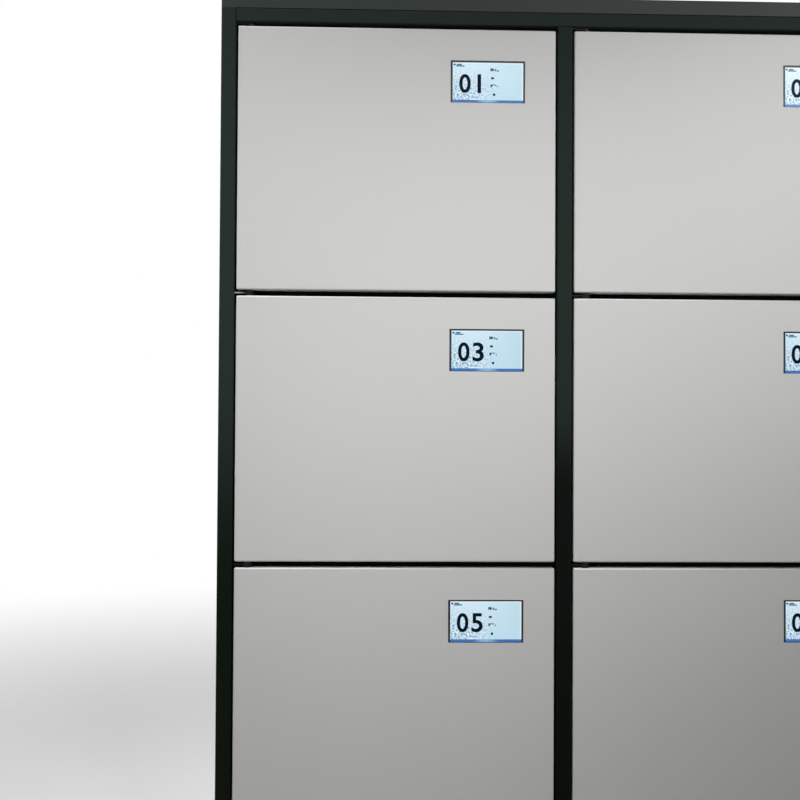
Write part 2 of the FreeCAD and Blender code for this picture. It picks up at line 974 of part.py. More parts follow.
def strike():
    middle_z = s.door_height / 2
    plate_height = s.strike_screw_pitch + 2 * s.strike_screw_margin
    plate = block(
        "strike_plate",
        (strike_x - s.strike_plate_width / 2, s.door_thickness, middle_z - plate_height / 2),
        (s.strike_plate_width, s.strike_plate, plate_height),
    )
    leg = (s.hoop_inside + s.rod_diameter) / 2
    foot = s.door_thickness + s.strike_plate / 2
    bar = s.door_thickness + s.bar_from_door
    places = [(-leg, foot), (-leg, bar), (leg, bar), (leg, foot)]
    points = [(strike_x + across, y, middle_z) for across, y in places]
    shape, length = bent_rod(points, [s.hoop_bend, s.hoop_bend], s.rod_diameter)
    hoop = swept("strike_hoop", shape)
    holes = []
    screws = []
    seat_y = s.door_thickness + s.strike_plate
    for side in (-1, 1):
        seat = (strike_x, seat_y, middle_z + side * s.strike_screw_pitch / 2)
        start = (seat[0], s.door_thickness - s.overrun, seat[2])
        hole = s.shank_diameter + 2 * s.shank_clearance
        holes.append(rod(f"strike_hole_{side + 1}", start, s.strike_plate + 2 * s.overrun, hole, "y"))
        screws.append(screw(f"strike_screw_{side + 1}", seat, s.strike_plate, s.small_head, "y"))
    welded = fuse("strike_welded", [plate, hoop])
    return group("strike", [cut("strike_bored", welded, holes)] + screws)


def make_doors():
    masters = {
        "shell": door_shell(),
        "liner": door_liner(),
        "display_housing": display_housing(),
        "display_screen": display_screen(),
        "strike": strike(),
    }
    for number, column, row in lockers():
        for name, master in masters.items():
            keep(repeat(f"door_{number}_{name}", master, door_corner(column, row)))


# Locks, each drawn from the middle of its pivot


lock_lead_hole = 2 * s.lead_diameter


def lock_housing():
    wall = s.lock_wall
    width = s.lock_width
    whole = block(
        "lock_block",
        (-width / 2, -s.lock_front, -s.lock_below),
        (width, s.lock_front + s.lock_back, s.lock_below + s.lock_above),
    )
    inside = block(
        "lock_inside",
        (-width / 2 + wall, -s.lock_front - s.overrun, -s.lock_below + wall),
        (
            width - 2 * wall,
            s.lock_front + s.lock_back + s.overrun - wall,
            s.lock_below + s.lock_above - 2 * wall,
        ),
    )
    case = cut("lock_case", whole, [inside])
    pin = rod("lock_pin", (-width / 2 + wall / 2, 0, 0), width - wall, s.pin_diameter, "x")
    start = (as_size(0), s.plunger_behind_pivot, s.pivot_below_bar + s.lead_above_bar)
    hole = rod("lock_lead_hole", start, width, lock_lead_hole, "x")
    return cut("lock_housing", fuse("lock_pinned", [case, pin]), [hole])


def lock_hook():
    reach = s.pivot_behind_bar + s.rod_diameter / 2 + s.hook_gap
    rise = s.pivot_below_bar + s.rod_diameter / 2 + s.hook_tip_rise
    tip = reach + s.hook_tip_width
    tail = s.hook_tail
    half = s.hook_tail_half
    points = [
        (tail, -half),
        (tail, half),
        (half, s.hook_throat),
        (-reach, s.hook_throat),
        (-reach, rise),
        (-tip + s.hook_tip_slope, rise),
        (-tip, rise - s.hook_tip_slope),
        (-tip, -half),
        (-half, -s.hook_under),
        (half, -s.hook_under),
    ]
    bore = s.pin_diameter + 2 * s.pin_clearance
    return profile("hook", "YZ_Plane", [points], s.hook_thickness, [(as_size(0), as_size(0))], bore)


def lock_solenoid():
    inner_back = s.lock_back - s.lock_wall
    inner_top = s.lock_above - s.lock_wall
    coil_bottom = inner_top - s.solenoid_height
    coil = block(
        "solenoid_coil",
        (-s.solenoid_width / 2, inner_back - s.solenoid_length, coil_bottom),
        (s.solenoid_width, s.solenoid_length, s.solenoid_height),
    )
    edge = s.plunger_behind_pivot + s.plunger_diameter / 2
    tail_top = edge * tangent(s.hook_swing) + s.hook_tail_half / cosine(s.hook_swing)
    low = tail_top + 2 * s.fit_gap
    start = (0, s.plunger_behind_pivot, low)
    plunger = rod("solenoid_plunger", start, coil_bottom - low, s.plunger_diameter)
    return fuse("solenoid", [coil, plunger])


def make_locks():
    housing = lock_housing()
    hook = lock_hook()
    solenoid = lock_solenoid()
    housings = []
    solenoids = []
    tilt = (FreeCAD.Vector(1, 0, 0), s.hook_swing)
    for number, column, row in lockers():
        centre = (lock_x(column), pivot_y, pivot_z(row))
        housings.append(repeat(f"lock_housing_{number}", housing, centre))
        solenoids.append(repeat(f"lock_solenoid_{number}", solenoid, centre))
        corner = (lock_x(column) - s.hook_thickness / 2, pivot_y, pivot_z(row))
        keep(repeat(f"lock_hook_{number}", hook, corner, tilt))
    keep(group("lock_housings", housings))
    keep(group("lock_solenoids", solenoids))


# Electrics in the space behind the back panel

board_x = -s.board_centre_side
board_low = rail_top + s.board_bottom
supply_low = rail_top + s.supply_bottom
inlet_x = board_x
inlet_z = rail_top + s.inlet_height
inlet_width = s.inlet_cavity_width + 2 * s.inlet_side_wall
inlet_tall = s.inlet_cavity_tall + 2 * s.inlet_end_wall
trunk_y = back_panel_rear + s.fit_gap + s.trunk_diameter / 2


def make_control_board():
    left = board_x - s.board_width / 2
    base = back_panel_rear + s.standoff_length
    plate = block(
        "board_plate", (left, base, board_low), (s.board_width, s.board_thickness, s.board_height)
    )
    members = [plate]
    inset = s.standoff_inset
    for x in (left + inset, left + s.board_width - inset):
        for z in (board_low + inset, board_low + s.board_height - inset):
            start = (x, back_panel_rear, z)
            label = f"standoff_{len(members)}"
            members.append(rod(label, start, s.standoff_length, s.standoff_diameter, "y"))
    face = base + s.board_thickness
    chip = s.chip_size
    corner = (board_x - chip / 2, face, board_low + (s.board_height - chip) / 2)
    members.append(block("board_chip", corner, (chip, s.chip_height, chip)))
    sockets = COLUMNS * ROWS
    step = (s.board_width - 2 * chip) / sockets
    for index in range(sockets):
        corner = (left + chip + index * step, face, board_low + inset)
        extent = (s.socket_width, s.socket_height, s.socket_height)
        members.append(block(f"board_socket_{index}", corner, extent))
    keep(fuse("control_board", members))


def make_power_supply():
    left = board_x - s.supply_width / 2
    case = block(
        "supply_case",
        (left, back_panel_rear, supply_low),
        (s.supply_width, s.supply_depth, s.supply_height),
    )
    recess = block(
        "supply_terminals",
        (left + s.socket_width, back_panel_rear + s.supply_depth / 2, supply_low - s.overrun),
        (s.supply_width - 2 * s.socket_width, s.supply_depth, s.socket_height + s.overrun),
    )
    keep(cut("power_supply", case, [recess]))


def make_power_inlet():
    back = cover_front + s.cover_thickness
    z = inlet_z
    body = block(
        "inlet_body",
        (inlet_x - inlet_width / 2, back - s.inlet_depth, z - inlet_tall / 2),
        (inlet_width, s.inlet_depth, inlet_tall),
    )
    flange = block(
        "inlet_flange",
        (inlet_x - s.inlet_flange_width / 2, back, z - s.inlet_flange_tall / 2),
        (s.inlet_flange_width, s.inlet_flange, s.inlet_flange_tall),
    )
    floor = back + s.inlet_flange - s.inlet_cavity_depth
    cavity = block(
        "inlet_cavity",
        (inlet_x - s.inlet_cavity_width / 2, floor, z - s.inlet_cavity_tall / 2),
        (s.inlet_cavity_width, s.inlet_cavity_depth + s.overrun, s.inlet_cavity_tall),
    )
    shell = cut("inlet_shell", fuse("inlet_blank", [body, flange]), [cavity])
    pins = []
    for step in (-1, 0, 1):
        corner = (inlet_x + step * s.inlet_pin_pitch - s.inlet_pin_width / 2, floor, z - s.inlet_pin_tall / 2)
        extent = (s.inlet_pin_width, s.inlet_pin_length, s.inlet_pin_tall)
        pins.append(block(f"inlet_pin_{step + 1}", corner, extent))
    keep(fuse("power_inlet", [shell] + pins))


def lead(label, points, bends, diameter):
    shape, length = bent_rod(points, bends, diameter)
    expected = math.pi * (diameter.number / 2) ** 2 * length
    print(f"{label}: length {length:.1f}, volume over section times length {shape.Volume / expected:.4f}")
    return swept(label, shape)


def make_wiring_harness():
    """Trunks up the back panel, and a branch to each lock through the hollow walls."""
    right_trunk_x = half_width - s.post_width - s.trunk_diameter
    trunk_x = (as_size(0), right_trunk_x)
    wall_x = (as_size(0), half_width - s.post_width / 2)
    leads = []
    for column in range(COLUMNS):
        x = trunk_x[column]
        low = lead_z(0) - s.trunk_diameter
        high = lead_z(ROWS - 1) + s.trunk_diameter
        leads.append(lead(f"trunk_{column}", [(x, trunk_y, low), (x, trunk_y, high)], [], s.trunk_diameter))
        end_x = lock_x(column) + s.solenoid_width / 2 + s.fit_gap
        for row in range(ROWS):
            z = lead_z(row)
            points = [(wall_x[column], trunk_y, z), (wall_x[column], lead_y, z), (end_x, lead_y, z)]
            bends = [s.lead_bend]
            if column == 1:
                points.insert(0, (x, trunk_y, z))
                bends.append(s.lead_bend)
            leads.append(lead(f"branch_{column}_{row}", points, bends, s.lead_diameter))
    link_z = board_low + s.board_height / 2
    start_x = board_x + s.board_width / 2 - s.standoff_inset
    link = [(start_x, trunk_y, link_z), (right_trunk_x, trunk_y, link_z)]
    leads.append(lead("trunk_link", link, [], s.trunk_diameter))
    board_feed = [
        (board_x, trunk_y, supply_low + s.supply_height),
        (board_x, trunk_y, board_low + s.standoff_inset),
    ]
    inlet_rear = cover_front + s.cover_thickness - s.inlet_depth
    supply_y = inlet_rear - s.feed_reach
    supply_feed = [
        (inlet_x, inlet_rear, inlet_z),
        (inlet_x, supply_y, inlet_z),
        (inlet_x, supply_y, supply_low),
    ]
    joined = fuse("lock_wiring", leads)
    feeds = [
        lead("board_feed", board_feed, [], s.trunk_diameter),
        lead("supply_feed", supply_feed, [s.feed_bend], s.trunk_diameter),
    ]
    keep(group("wiring_harness", [joined] + feeds))


def make_screws():
    screws = []
    seat_y = cover_front + s.cover_thickness
    for index, (x, z) in enumerate(cover_screw_places()):
        screws.append(screw(f"cover_screw_{index}", (x, seat_y, z), s.cover_thickness, s.large_head, "y"))
    y = bracket_flange_y + s.bracket_flange_depth / 2
    for column in range(COLUMNS):
        for row in range(ROWS + 1):
            for height in bracket_screw_heights():
                if row == ROWS:
                    z = boundary(row) + half_plate - height
                else:
                    z = boundary(row) - half_plate + height
                seat = (bay_left(column) + s.bracket_plate, y, z)
                label = f"bracket_screw_{len(screws)}"
                screws.append(screw(label, seat, s.bracket_plate, s.small_head, "x"))
    keep(group("screws", screws))


make_posts()
make_cross_rails()
make_side_panels()
make_centre_partition()
make_roof_panel()
make_floor_panel()
make_back_panel()
make_rear_service_cover()
make_shelves()
make_plinth()
make_foot_pads()
make_hinge_brackets()
make_hinge_pins()
make_hinge_bushes()
make_doors()
make_locks()
make_control_board()
make_power_supply()
make_power_inlet()
make_wiring_harness()
make_screws()
document.recompute()

# Every object is up to date and every sub-part is sound before anything is written

for item in document.Objects:
    if "Invalid" in item.State or "Error" in item.State:
        raise RuntimeError(f"{item.Label} failed: {item.State}")
for item in subparts:
    if item.Shape.isNull() or not item.Shape.isValid():
        raise RuntimeError(f"{item.Label} has no valid shape")

os.makedirs("parts", exist_ok=True)
for item in subparts:
    item.Shape.exportStep(f"parts/{item.Label}.step")
print(f"{len(subparts)} sub-parts written")
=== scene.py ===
import math

import bmesh
import bpy
from mathutils import Matrix, Vector


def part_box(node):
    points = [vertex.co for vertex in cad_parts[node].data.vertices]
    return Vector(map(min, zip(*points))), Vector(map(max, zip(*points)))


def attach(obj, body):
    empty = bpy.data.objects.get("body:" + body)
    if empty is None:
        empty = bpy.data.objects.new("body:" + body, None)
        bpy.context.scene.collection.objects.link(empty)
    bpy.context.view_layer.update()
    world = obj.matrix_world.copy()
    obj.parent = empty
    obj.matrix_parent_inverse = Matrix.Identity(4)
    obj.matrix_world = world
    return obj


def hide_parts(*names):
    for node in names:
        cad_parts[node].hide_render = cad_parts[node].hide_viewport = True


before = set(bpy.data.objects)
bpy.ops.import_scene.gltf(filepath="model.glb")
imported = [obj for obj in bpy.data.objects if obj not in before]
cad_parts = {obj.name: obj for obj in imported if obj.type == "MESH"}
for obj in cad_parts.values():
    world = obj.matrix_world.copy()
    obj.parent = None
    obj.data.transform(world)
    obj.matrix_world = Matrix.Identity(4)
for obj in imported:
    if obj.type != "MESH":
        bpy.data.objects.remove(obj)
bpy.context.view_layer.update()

MM = 0.001
HAIR = 0.01 * MM
QUARTER = math.pi / 2
LOCKERS = ("01", "02", "03", "04", "05", "06")

# The cabinet's grid in metres: left walls of the bays, edges of the rows, hinge edges of the doors
BAY_LEFTS = (-0.44, 0.01)
ROW_EDGES = (0.13, 0.49, 0.85, 1.21)
HINGE_EDGE, COLUMN_PITCH = -0.4375, 0.45

# Thickness of the thin sheet, and fold radius of the doors and tubes
SHEET, FOLD = 1 * MM, 2.2 * MM

# Sizes on a door, from its lower left front corner, in millimetres
DOOR_TALL = 352.0
CUTOUT_LEFT, CUTOUT_RIGHT = 283.5, 383.6
CUTOUT_LOW, CUTOUT_HIGH = 253.3, 309.8
SCREEN_LEFT, SCREEN_LOW = 286.3, 253.9
SCREEN_WIDTH, SCREEN_HEIGHT = 95.0, 54.0
PICTURE_BACK, PANE, INK = 2.2, 0.12, 0.04
AXIS_ACROSS, AXIS_BACK = 16.5, 7.5
BLOCK_RIGHT, BLOCK_BACK, BLOCK_TALL, BORE_RADIUS = 31, 14.7, 11, 4.12
STRIKE_ACROSS, STRIKE_UP = 412.5, 176.0


# ---------------------------------------------------------------- bench tools


def put_down():
    """Leave edit mode with nothing selected."""
    if bpy.context.object and bpy.context.object.mode != "OBJECT":
        bpy.ops.object.mode_set(mode="OBJECT")
    bpy.ops.object.select_all(action="DESELECT")


def take(piece):
    """Select one piece alone."""
    put_down()
    piece.select_set(True)
    bpy.context.view_layer.objects.active = piece


def settle(piece):
    """Put a piece's place, turn and size into its mesh."""
    take(piece)
    bpy.ops.object.transform_apply(location=True, rotation=True, scale=True)
    return piece


def named(piece, name):
    """Give a piece and its mesh one name."""
    piece.name = name
    piece.data.name = name
    return piece


def mm(across, back, up):
    """A vector given in millimetres."""
    return Vector((across, back, up)) * MM


def blank(name, low, high):
    """Square blank between two corners."""
    low, high = Vector(low), Vector(high)
    put_down()
    bpy.ops.mesh.primitive_cube_add(size=1, location=(low + high) / 2, scale=high - low)
    return settle(named(bpy.context.object, name))


FACING = {"x": (0, QUARTER, 0), "y": (-QUARTER, 0, 0), "z": (0, 0, 0)}


def round_blank(name, start, length, radius, direction="z", sides=32):
    """Round blank from the middle of its first end along +X, +Y or +Z."""
    along = Vector([1.0 if axis == direction else 0.0 for axis in "xyz"])
    middle = Vector(start) + along * length / 2
    put_down()
    bpy.ops.mesh.primitive_cylinder_add(
        vertices=sides, radius=radius, depth=length, location=middle, rotation=FACING[direction]
    )
    return settle(named(bpy.context.object, name))


def pick(piece, kind, test):
    """In edit mode, select the faces or edges that the test finds by middle and direction."""
    take(piece)
    bpy.ops.object.mode_set(mode="EDIT")
    bpy.ops.mesh.select_mode(type=kind)
    bpy.ops.mesh.select_all(action="DESELECT")
    mesh = bmesh.from_edit_mesh(piece.data)
    if kind == "FACE":
        for face in mesh.faces:
            if test(face.calc_center_median(), face.normal):
                face.select_set(True)
    else:
        for edge in mesh.edges:
            first, last = (corner.co for corner in edge.verts)
            if test((first + last) / 2, (last - first).normalized()):
                edge.select_set(True)
    bmesh.update_edit_mesh(piece.data)


def open_up(piece, test):
    """Take away the faces that the test finds."""
    pick(piece, "FACE", test)
    bpy.ops.mesh.delete(type="FACE")
    put_down()


def round_over(piece, radius, segments, test):
    """Round over the edges that the test finds."""
    pick(piece, "EDGE", test)
    bpy.ops.mesh.bevel(
        offset_type="OFFSET", offset=radius, segments=segments, affect="EDGES", clamp_overlap=True
    )
    put_down()


def modify(piece, kind, **settings):
    """Apply a modifier with these settings."""
    modifier = piece.modifiers.new("step", kind)
    for key, value in settings.items():
        setattr(modifier, key, value)
    take(piece)
    bpy.ops.object.modifier_apply(modifier=modifier.name)
    return piece


def break_edges(piece, radius, segments=2):
    """Break every sharp edge of a piece a little."""
    sharp = math.radians(40)
    return modify(piece, "BEVEL", width=radius, segments=segments, limit_method="ANGLE", angle_limit=sharp)


def fold_sheet(piece, thickness):
    """Give an open shell its sheet thickness, inwards."""
    return modify(piece, "SOLIDIFY", thickness=thickness, offset=-1, use_even_offset=True)


def take_away(piece, cutter):
    """Cut one piece with another and throw the cutter away."""
    modify(piece, "BOOLEAN", operation="DIFFERENCE", solver="EXACT", object=cutter)
    bpy.data.objects.remove(cutter)
    return piece


def smooth(piece, angle=35):
    """Smooth shading over the rounded edges that leaves the broad faces flat."""
    take(piece)
    bpy.ops.object.shade_smooth_by_angle(angle=math.radians(angle))
    return modify(piece, "WEIGHTED_NORMAL", mode="FACE_AREA", weight=100, keep_sharp=True)


def join(name, parts):
    """One piece out of several."""
    take(parts[0])
    for part in parts:
        part.select_set(True)
    bpy.ops.object.join()
    return named(bpy.context.object, name)


def twin(piece, name, shift, turn=(0, 0, 0)):
    """Another of a piece, turned about the origin and then moved, with a mesh of its own."""
    take(piece)
    bpy.ops.object.duplicate(linked=False)
    other = named(bpy.context.object, name)
    other.rotation_euler = turn
    other.location = shift
    return settle(other)


def fit(piece, body, finish, slot, *nodes):
    """Finish a piece and hang it on its body in place of the plain ones."""
    piece.data.materials.clear()
    piece.data.materials.append(finish)
    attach(piece, body)
    if nodes:
        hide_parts(*nodes)


# ---------------------------------------------------------------- node tools


def add(tree, kind, **settings):
    """A new node with these settings."""
    node = tree.nodes.new(kind)
    for key, value in settings.items():
        setattr(node, key, value)
    return node


def give(tree, socket, value):
    """Set a socket to a number, a colour or a point, or link it to another node's output."""
    if isinstance(value, (int, float)):
        socket.default_value = value
    elif isinstance(value, tuple):
        socket.default_value = (*value, 1)[: len(socket.default_value)]
    else:
        tree.links.new(value, socket)


def feed(tree, node, **values):
    """Give a node's inputs their values by label, with underscores for the spaces."""
    for label, value in values.items():
        give(tree, node.inputs[label.replace("_", " ")], value)
    return node


def reckon(tree, operation, *values, kind="ShaderNodeMath"):
    """The number that a math node gives."""
    node = add(tree, kind, operation=operation)
    for socket, value in zip(node.inputs, values):
        give(tree, socket, value)
    return node.outputs["Value"]


def plus(tree, first, second):
    """Sum of two values."""
    return reckon(tree, "ADD", first, second)


def minus(tree, first, second):
    """Difference of two values."""
    return reckon(tree, "SUBTRACT", first, second)


def times(tree, first, second):
    """Product of two values."""
    return reckon(tree, "MULTIPLY", first, second)


def measure(tree, operation, *vectors):
    """Length, distance or dot product of vectors."""
    return reckon(tree, operation, *vectors, kind="ShaderNodeVectorMath")


def brighten(tree, colour, level):
    """A colour times a level."""
    node = add(tree, "ShaderNodeVectorMath", operation="SCALE")
    give(tree, node.inputs[0], colour)
    return feed(tree, node, Scale=level).outputs[0]


def noise(tree, place, scale, detail=2.0, roughness=0.5):
    """Noise over a place, from about 0.2 to 0.8."""
    node = add(tree, "ShaderNodeTexNoise")
    return feed(tree, node, Scale=scale, Detail=detail, Roughness=roughness, Vector=place).outputs["Fac"]


def spread(tree, value, low, high, to_low=0.0, to_high=1.0):
    """A value eased from one range into another, and held at its ends."""
    node = add(tree, "ShaderNodeMapRange", interpolation_type="SMOOTHSTEP")
    feed(tree, node, Value=value, From_Min=low, From_Max=high, To_Min=to_low, To_Max=to_high)
    return node.outputs["Result"]


def blend_colour(tree, amount, first, second):
    """From the first colour at 0 to the second at 1."""
    node = add(tree, "ShaderNodeMix", data_type="RGBA")
    for index, value in ((0, amount), (6, first), (7, second)):
        give(tree, node.inputs[index], value)
    return node.outputs[2]


def parts_of(tree, vector):
    """X, Y and Z of a vector."""
    return feed(tree, add(tree, "ShaderNodeSeparateXYZ"), Vector=vector).outputs


def remap(tree, place, **values):
    """A place that is turned or scaled."""
    return feed(tree, add(tree, "ShaderNodeMapping"), Vector=place, **values).outputs[0]


def object_place(tree):
    """Place on the piece, in metres."""
    return add(tree, "ShaderNodeTexCoord").outputs["Object"]


def looking_up(tree, low, high):
    """Mask of the faces that look up, by the Z of their normal."""
    normal = add(tree, "ShaderNodeNewGeometry").outputs["Normal"]
    return spread(tree, parts_of(tree, normal)["Z"], low, high)


# ---------------------------------------------------------------- shared surface effects

SURFACE = ("Colour", "Roughness", "Height")


def effect(name, outputs, **inputs):
    """A shader node group that takes a place and these numbers and colours."""
    tree = bpy.data.node_groups.new(name, "ShaderNodeTree")
    tree.interface.new_socket(name="Place", in_out="INPUT", socket_type="NodeSocketVector")
    for label, value in inputs.items():
        coloured = isinstance(value, tuple)
        kind = "NodeSocketColor" if coloured else "NodeSocketFloat"
        socket = tree.interface.new_socket(name=label, in_out="INPUT", socket_type=kind)
        socket.default_value = (*value, 1) if coloured else value
    for label in outputs:
        kind = "NodeSocketColor" if label == "Colour" else "NodeSocketFloat"
        tree.interface.new_socket(name=label, in_out="OUTPUT", socket_type=kind)
    return tree, add(tree, "NodeGroupInput").outputs, add(tree, "NodeGroupOutput")


def make_powder_effect():
    """Orange peel of a powder coat with a faint cloudiness in shade and gloss."""
    tree, given, end = effect("powder_coat", SURFACE, Colour=(0.5, 0.5, 0.5), Cloud=0.04, Roughness=0.45)
    peel = noise(tree, given["Place"], 520, 2.0, 0.45)
    grain = noise(tree, given["Place"], 2600, 1.0, 0.5)
    cloud = noise(tree, given["Place"], 5.5, 3.0, 0.55)
    streak = noise(tree, given["Place"], 38, 3.0, 0.6)
    shade = minus(tree, plus(tree, times(tree, cloud, 0.7), times(tree, streak, 0.3)), 0.5)
    level = plus(tree, 1.0, times(tree, shade, given["Cloud"]))
    feed(
        tree, end,
        Colour=brighten(tree, given["Colour"], level),
        Roughness=plus(tree, given["Roughness"], times(tree, shade, 0.12)),
        Height=plus(tree, peel, times(tree, grain, 0.22)),
    )
    return tree


def make_edge_effect():
    """Mask of the rubbed edges, broken up so that it isn't an even line."""
    tree, given, end = effect("rubbed_edges", ("Mask",), Reach=0.0012, Amount=0.5)
    rounded = feed(tree, add(tree, "ShaderNodeBevel", samples=4), Radius=given["Reach"])
    plain = add(tree, "ShaderNodeNewGeometry")
    match = measure(tree, "DOT_PRODUCT", rounded.outputs["Normal"], plain.outputs["Normal"])
    edge = spread(tree, minus(tree, 1.0, match), 0.01, 0.16)
    patchy = spread(tree, noise(tree, given["Place"], 90, 4.0, 0.6), 0.42, 0.68)
    feed(tree, end, Mask=times(tree, times(tree, edge, patchy), given["Amount"]))
    return tree


def make_dust_effect():
    """Mask of fine dust that settles on faces that look up."""
    tree, given, end = effect("settled_dust", ("Mask",), Amount=0.3)
    upward = looking_up(tree, 0.55, 1.0)
    patches = spread(tree, noise(tree, given["Place"], 46, 5.0, 0.7), 0.25, 0.8)
    feed(tree, end, Mask=times(tree, times(tree, upward, patches), given["Amount"]))
    return tree


def make_moulded_effect():
    """Fine spark-eroded grain of a moulded part, with a little shade change."""
    tree, given, end = effect(
        "moulded_grain", SURFACE, Colour=(0.02, 0.02, 0.02), Grain=900.0, Roughness=0.5
    )
    place = given["Place"]
    pits = feed(tree, add(tree, "ShaderNodeTexVoronoi", feature="F1"), Vector=place, Scale=given["Grain"])
    cloud = minus(tree, noise(tree, place, 30, 3.0), 0.5)
    feed(
        tree, end,
        Colour=brighten(tree, given["Colour"], plus(tree, 1.0, times(tree, cloud, 0.35))),
        Roughness=plus(tree, given["Roughness"], times(tree, cloud, 0.2)),
        Height=plus(tree, pits.outputs["Distance"], times(tree, noise(tree, place, 1700), 0.6)),
    )
    return tree


def make_plating_effect():
    """Zinc plating: soft mottling, fine drawn lines and duller patches."""
    tree, given, end = effect(
        "plating", SURFACE, Colour=(0.6, 0.6, 0.6), Dull=(0.4, 0.4, 0.4), Roughness=0.3
    )
    place = given["Place"]
    lines = noise(tree, remap(tree, place, Scale=(1.0, 1.0, 0.06)), 1500, 3.0, 0.6)
    mottle = noise(tree, place, 220, 4.0, 0.6)
    dull = times(tree, spread(tree, noise(tree, place, 60, 4.0, 0.65), 0.4, 0.75), 0.6)
    feed(
        tree, end,
        Colour=blend_colour(tree, dull, given["Colour"], given["Dull"]),
        Roughness=plus(tree, given["Roughness"], times(tree, minus(tree, mottle, 0.35), 0.35)),
        Height=plus(tree, lines, times(tree, mottle, 0.5)),
    )
    return tree


POWDER = make_powder_effect()
EDGES = make_edge_effect()
DUST = make_dust_effect()
MOULDED = make_moulded_effect()
PLATING = make_plating_effect()


# ---------------------------------------------------------------- finishes


def new_finish(name):
    """A new material with its tree and its shader."""
    finish = bpy.data.materials.new(name)
    finish.use_nodes = True
    return finish, finish.node_tree, finish.node_tree.nodes["Principled BSDF"]


def use(tree, group, place, **values):
    """What a shared effect gives for these values."""
    return feed(tree, add(tree, "ShaderNodeGroup", node_tree=group), Place=place, **values).outputs


def relief(tree, shader, height, distance, strength):
    """Fine relief on a surface, its depth in metres."""
    bump = feed(tree, add(tree, "ShaderNodeBump"), Distance=distance, Strength=strength, Height=height)
    feed(tree, shader, Normal=bump.outputs[0])


def powder_coat(
    name, colour, worn, roughness, cloud, dusty, specular, rubbed, peel=0.00003, painted_sheen=None, painted_top_edge_light=None
):
    """Powder coat over steel: peel, cloudiness, rubbed edges and dust on top.

    A painted sheen is a paler colour, a painted reflection, with the heights where it starts and is full.
    The painted top-edge light turns the top edge of a door from a painted highlight at the hinge side to
    painted shade at the far side.
    """
    finish, tree, shader = new_finish(name)
    place = object_place(tree)
    coat = use(tree, POWDER, place, Colour=colour, Cloud=cloud, Roughness=roughness)
    rub = use(tree, EDGES, place, Reach=0.0011, Amount=rubbed)["Mask"]
    dust = use(tree, DUST, place, Amount=dusty)["Mask"]
    skin = coat["Colour"]
    # Painted reflection: the coat turns paler between two heights.
    if painted_sheen:
        pale, start, full = painted_sheen
        skin = blend_colour(tree, spread(tree, parts_of(tree, place)["Z"], start, full), skin, pale)
    # Painted light on faces that look up: a painted highlight at the hinge side that turns into painted shade
    # at the far side.
    if painted_top_edge_light:
        from_edge = plus(tree, parts_of(tree, place)["X"], -HINGE_EDGE)
        across = reckon(tree, "MODULO", from_edge, COLUMN_PITCH)
        painted_edge_light = blend_colour(tree, spread(tree, across, 0.02, 0.4), *painted_top_edge_light)
        skin = blend_colour(tree, times(tree, looking_up(tree, 0.08, 0.4), 0.7), skin, painted_edge_light)
    painted = blend_colour(tree, rub, skin, worn)
    feed(
        tree, shader,
        Base_Color=blend_colour(tree, dust, painted, (0.42, 0.4, 0.37)),
        Roughness=plus(tree, coat["Roughness"], times(tree, dust, 0.3)),
        Specular_IOR_Level=specular,
    )
    relief(tree, shader, coat["Height"], peel, 0.6)
    return finish


def plated(name, colour, dull, roughness, painted_glint_spot=None):
    """Plated steel, with one bright painted glint where a spot is given."""
    finish, tree, shader = new_finish(name)
    place = object_place(tree)
    zinc = use(tree, PLATING, place, Colour=colour, Dull=dull, Roughness=roughness)
    dust = use(tree, DUST, place, Amount=0.15)["Mask"]
    skin = zinc["Colour"]
    # Painted glint: the steel turns bright near the given point.
    if painted_glint_spot:
        near = spread(tree, measure(tree, "DISTANCE", place, painted_glint_spot), 0.013, 0.001)
        skin = blend_colour(tree, near, skin, (0.26, 0.24, 0.235))
    skin = blend_colour(tree, dust, skin, (0.35, 0.33, 0.3))
    feed(tree, shader, Base_Color=skin, Roughness=zinc["Roughness"], Metallic=1.0)
    relief(tree, shader, zinc["Height"], 0.00001, 0.5)
    return finish


def moulded(name, colour, grain, roughness, depth=0.00003, specular=0.5):
    """Moulded plastic or rubber: grain, paler edges and a little dust."""
    finish, tree, shader = new_finish(name)
    place = object_place(tree)
    skin = use(tree, MOULDED, place, Colour=colour, Grain=grain, Roughness=roughness)
    rub = use(tree, EDGES, place, Reach=0.0006, Amount=0.35)["Mask"]
    dust = use(tree, DUST, place, Amount=0.12)["Mask"]
    lighter = tuple(min(1.0, 2.2 * part + 0.01) for part in colour)
    rubbed = blend_colour(tree, rub, skin["Colour"], lighter)
    feed(
        tree, shader,
        Base_Color=blend_colour(tree, dust, rubbed, (0.3, 0.29, 0.27)),
        Roughness=skin["Roughness"],
        Specular_IOR_Level=specular,
    )
    relief(tree, shader, skin["Height"], depth, 0.5)
    return finish


def circuit_finish():
    """Green solder mask over copper tracks, with pale pads."""
    finish, tree, shader = new_finish("circuit_board")
    place = object_place(tree)
    upright = remap(tree, place, Rotation=(QUARTER, 0, 0))
    bricks = feed(tree, add(tree, "ShaderNodeTexBrick"), Scale=130, Mortar_Size=0.06, Vector=upright)
    spots = feed(tree, add(tree, "ShaderNodeTexVoronoi", feature="F1"), Scale=170, Vector=place)
    tracks, from_spot = bricks.outputs["Fac"], spots.outputs["Distance"]
    pad = spread(tree, from_spot, 0.2, 0.14)
    green = blend_colour(tree, tracks, (0.012, 0.11, 0.045), (0.02, 0.2, 0.08))
    feed(
        tree, shader,
        Base_Color=blend_colour(tree, pad, green, (0.62, 0.58, 0.42)),
        Roughness=spread(tree, from_spot, 0.14, 0.3, 0.25, 0.42),
    )
    relief(tree, shader, plus(tree, tracks, pad), 0.00004, 0.5)
    return finish


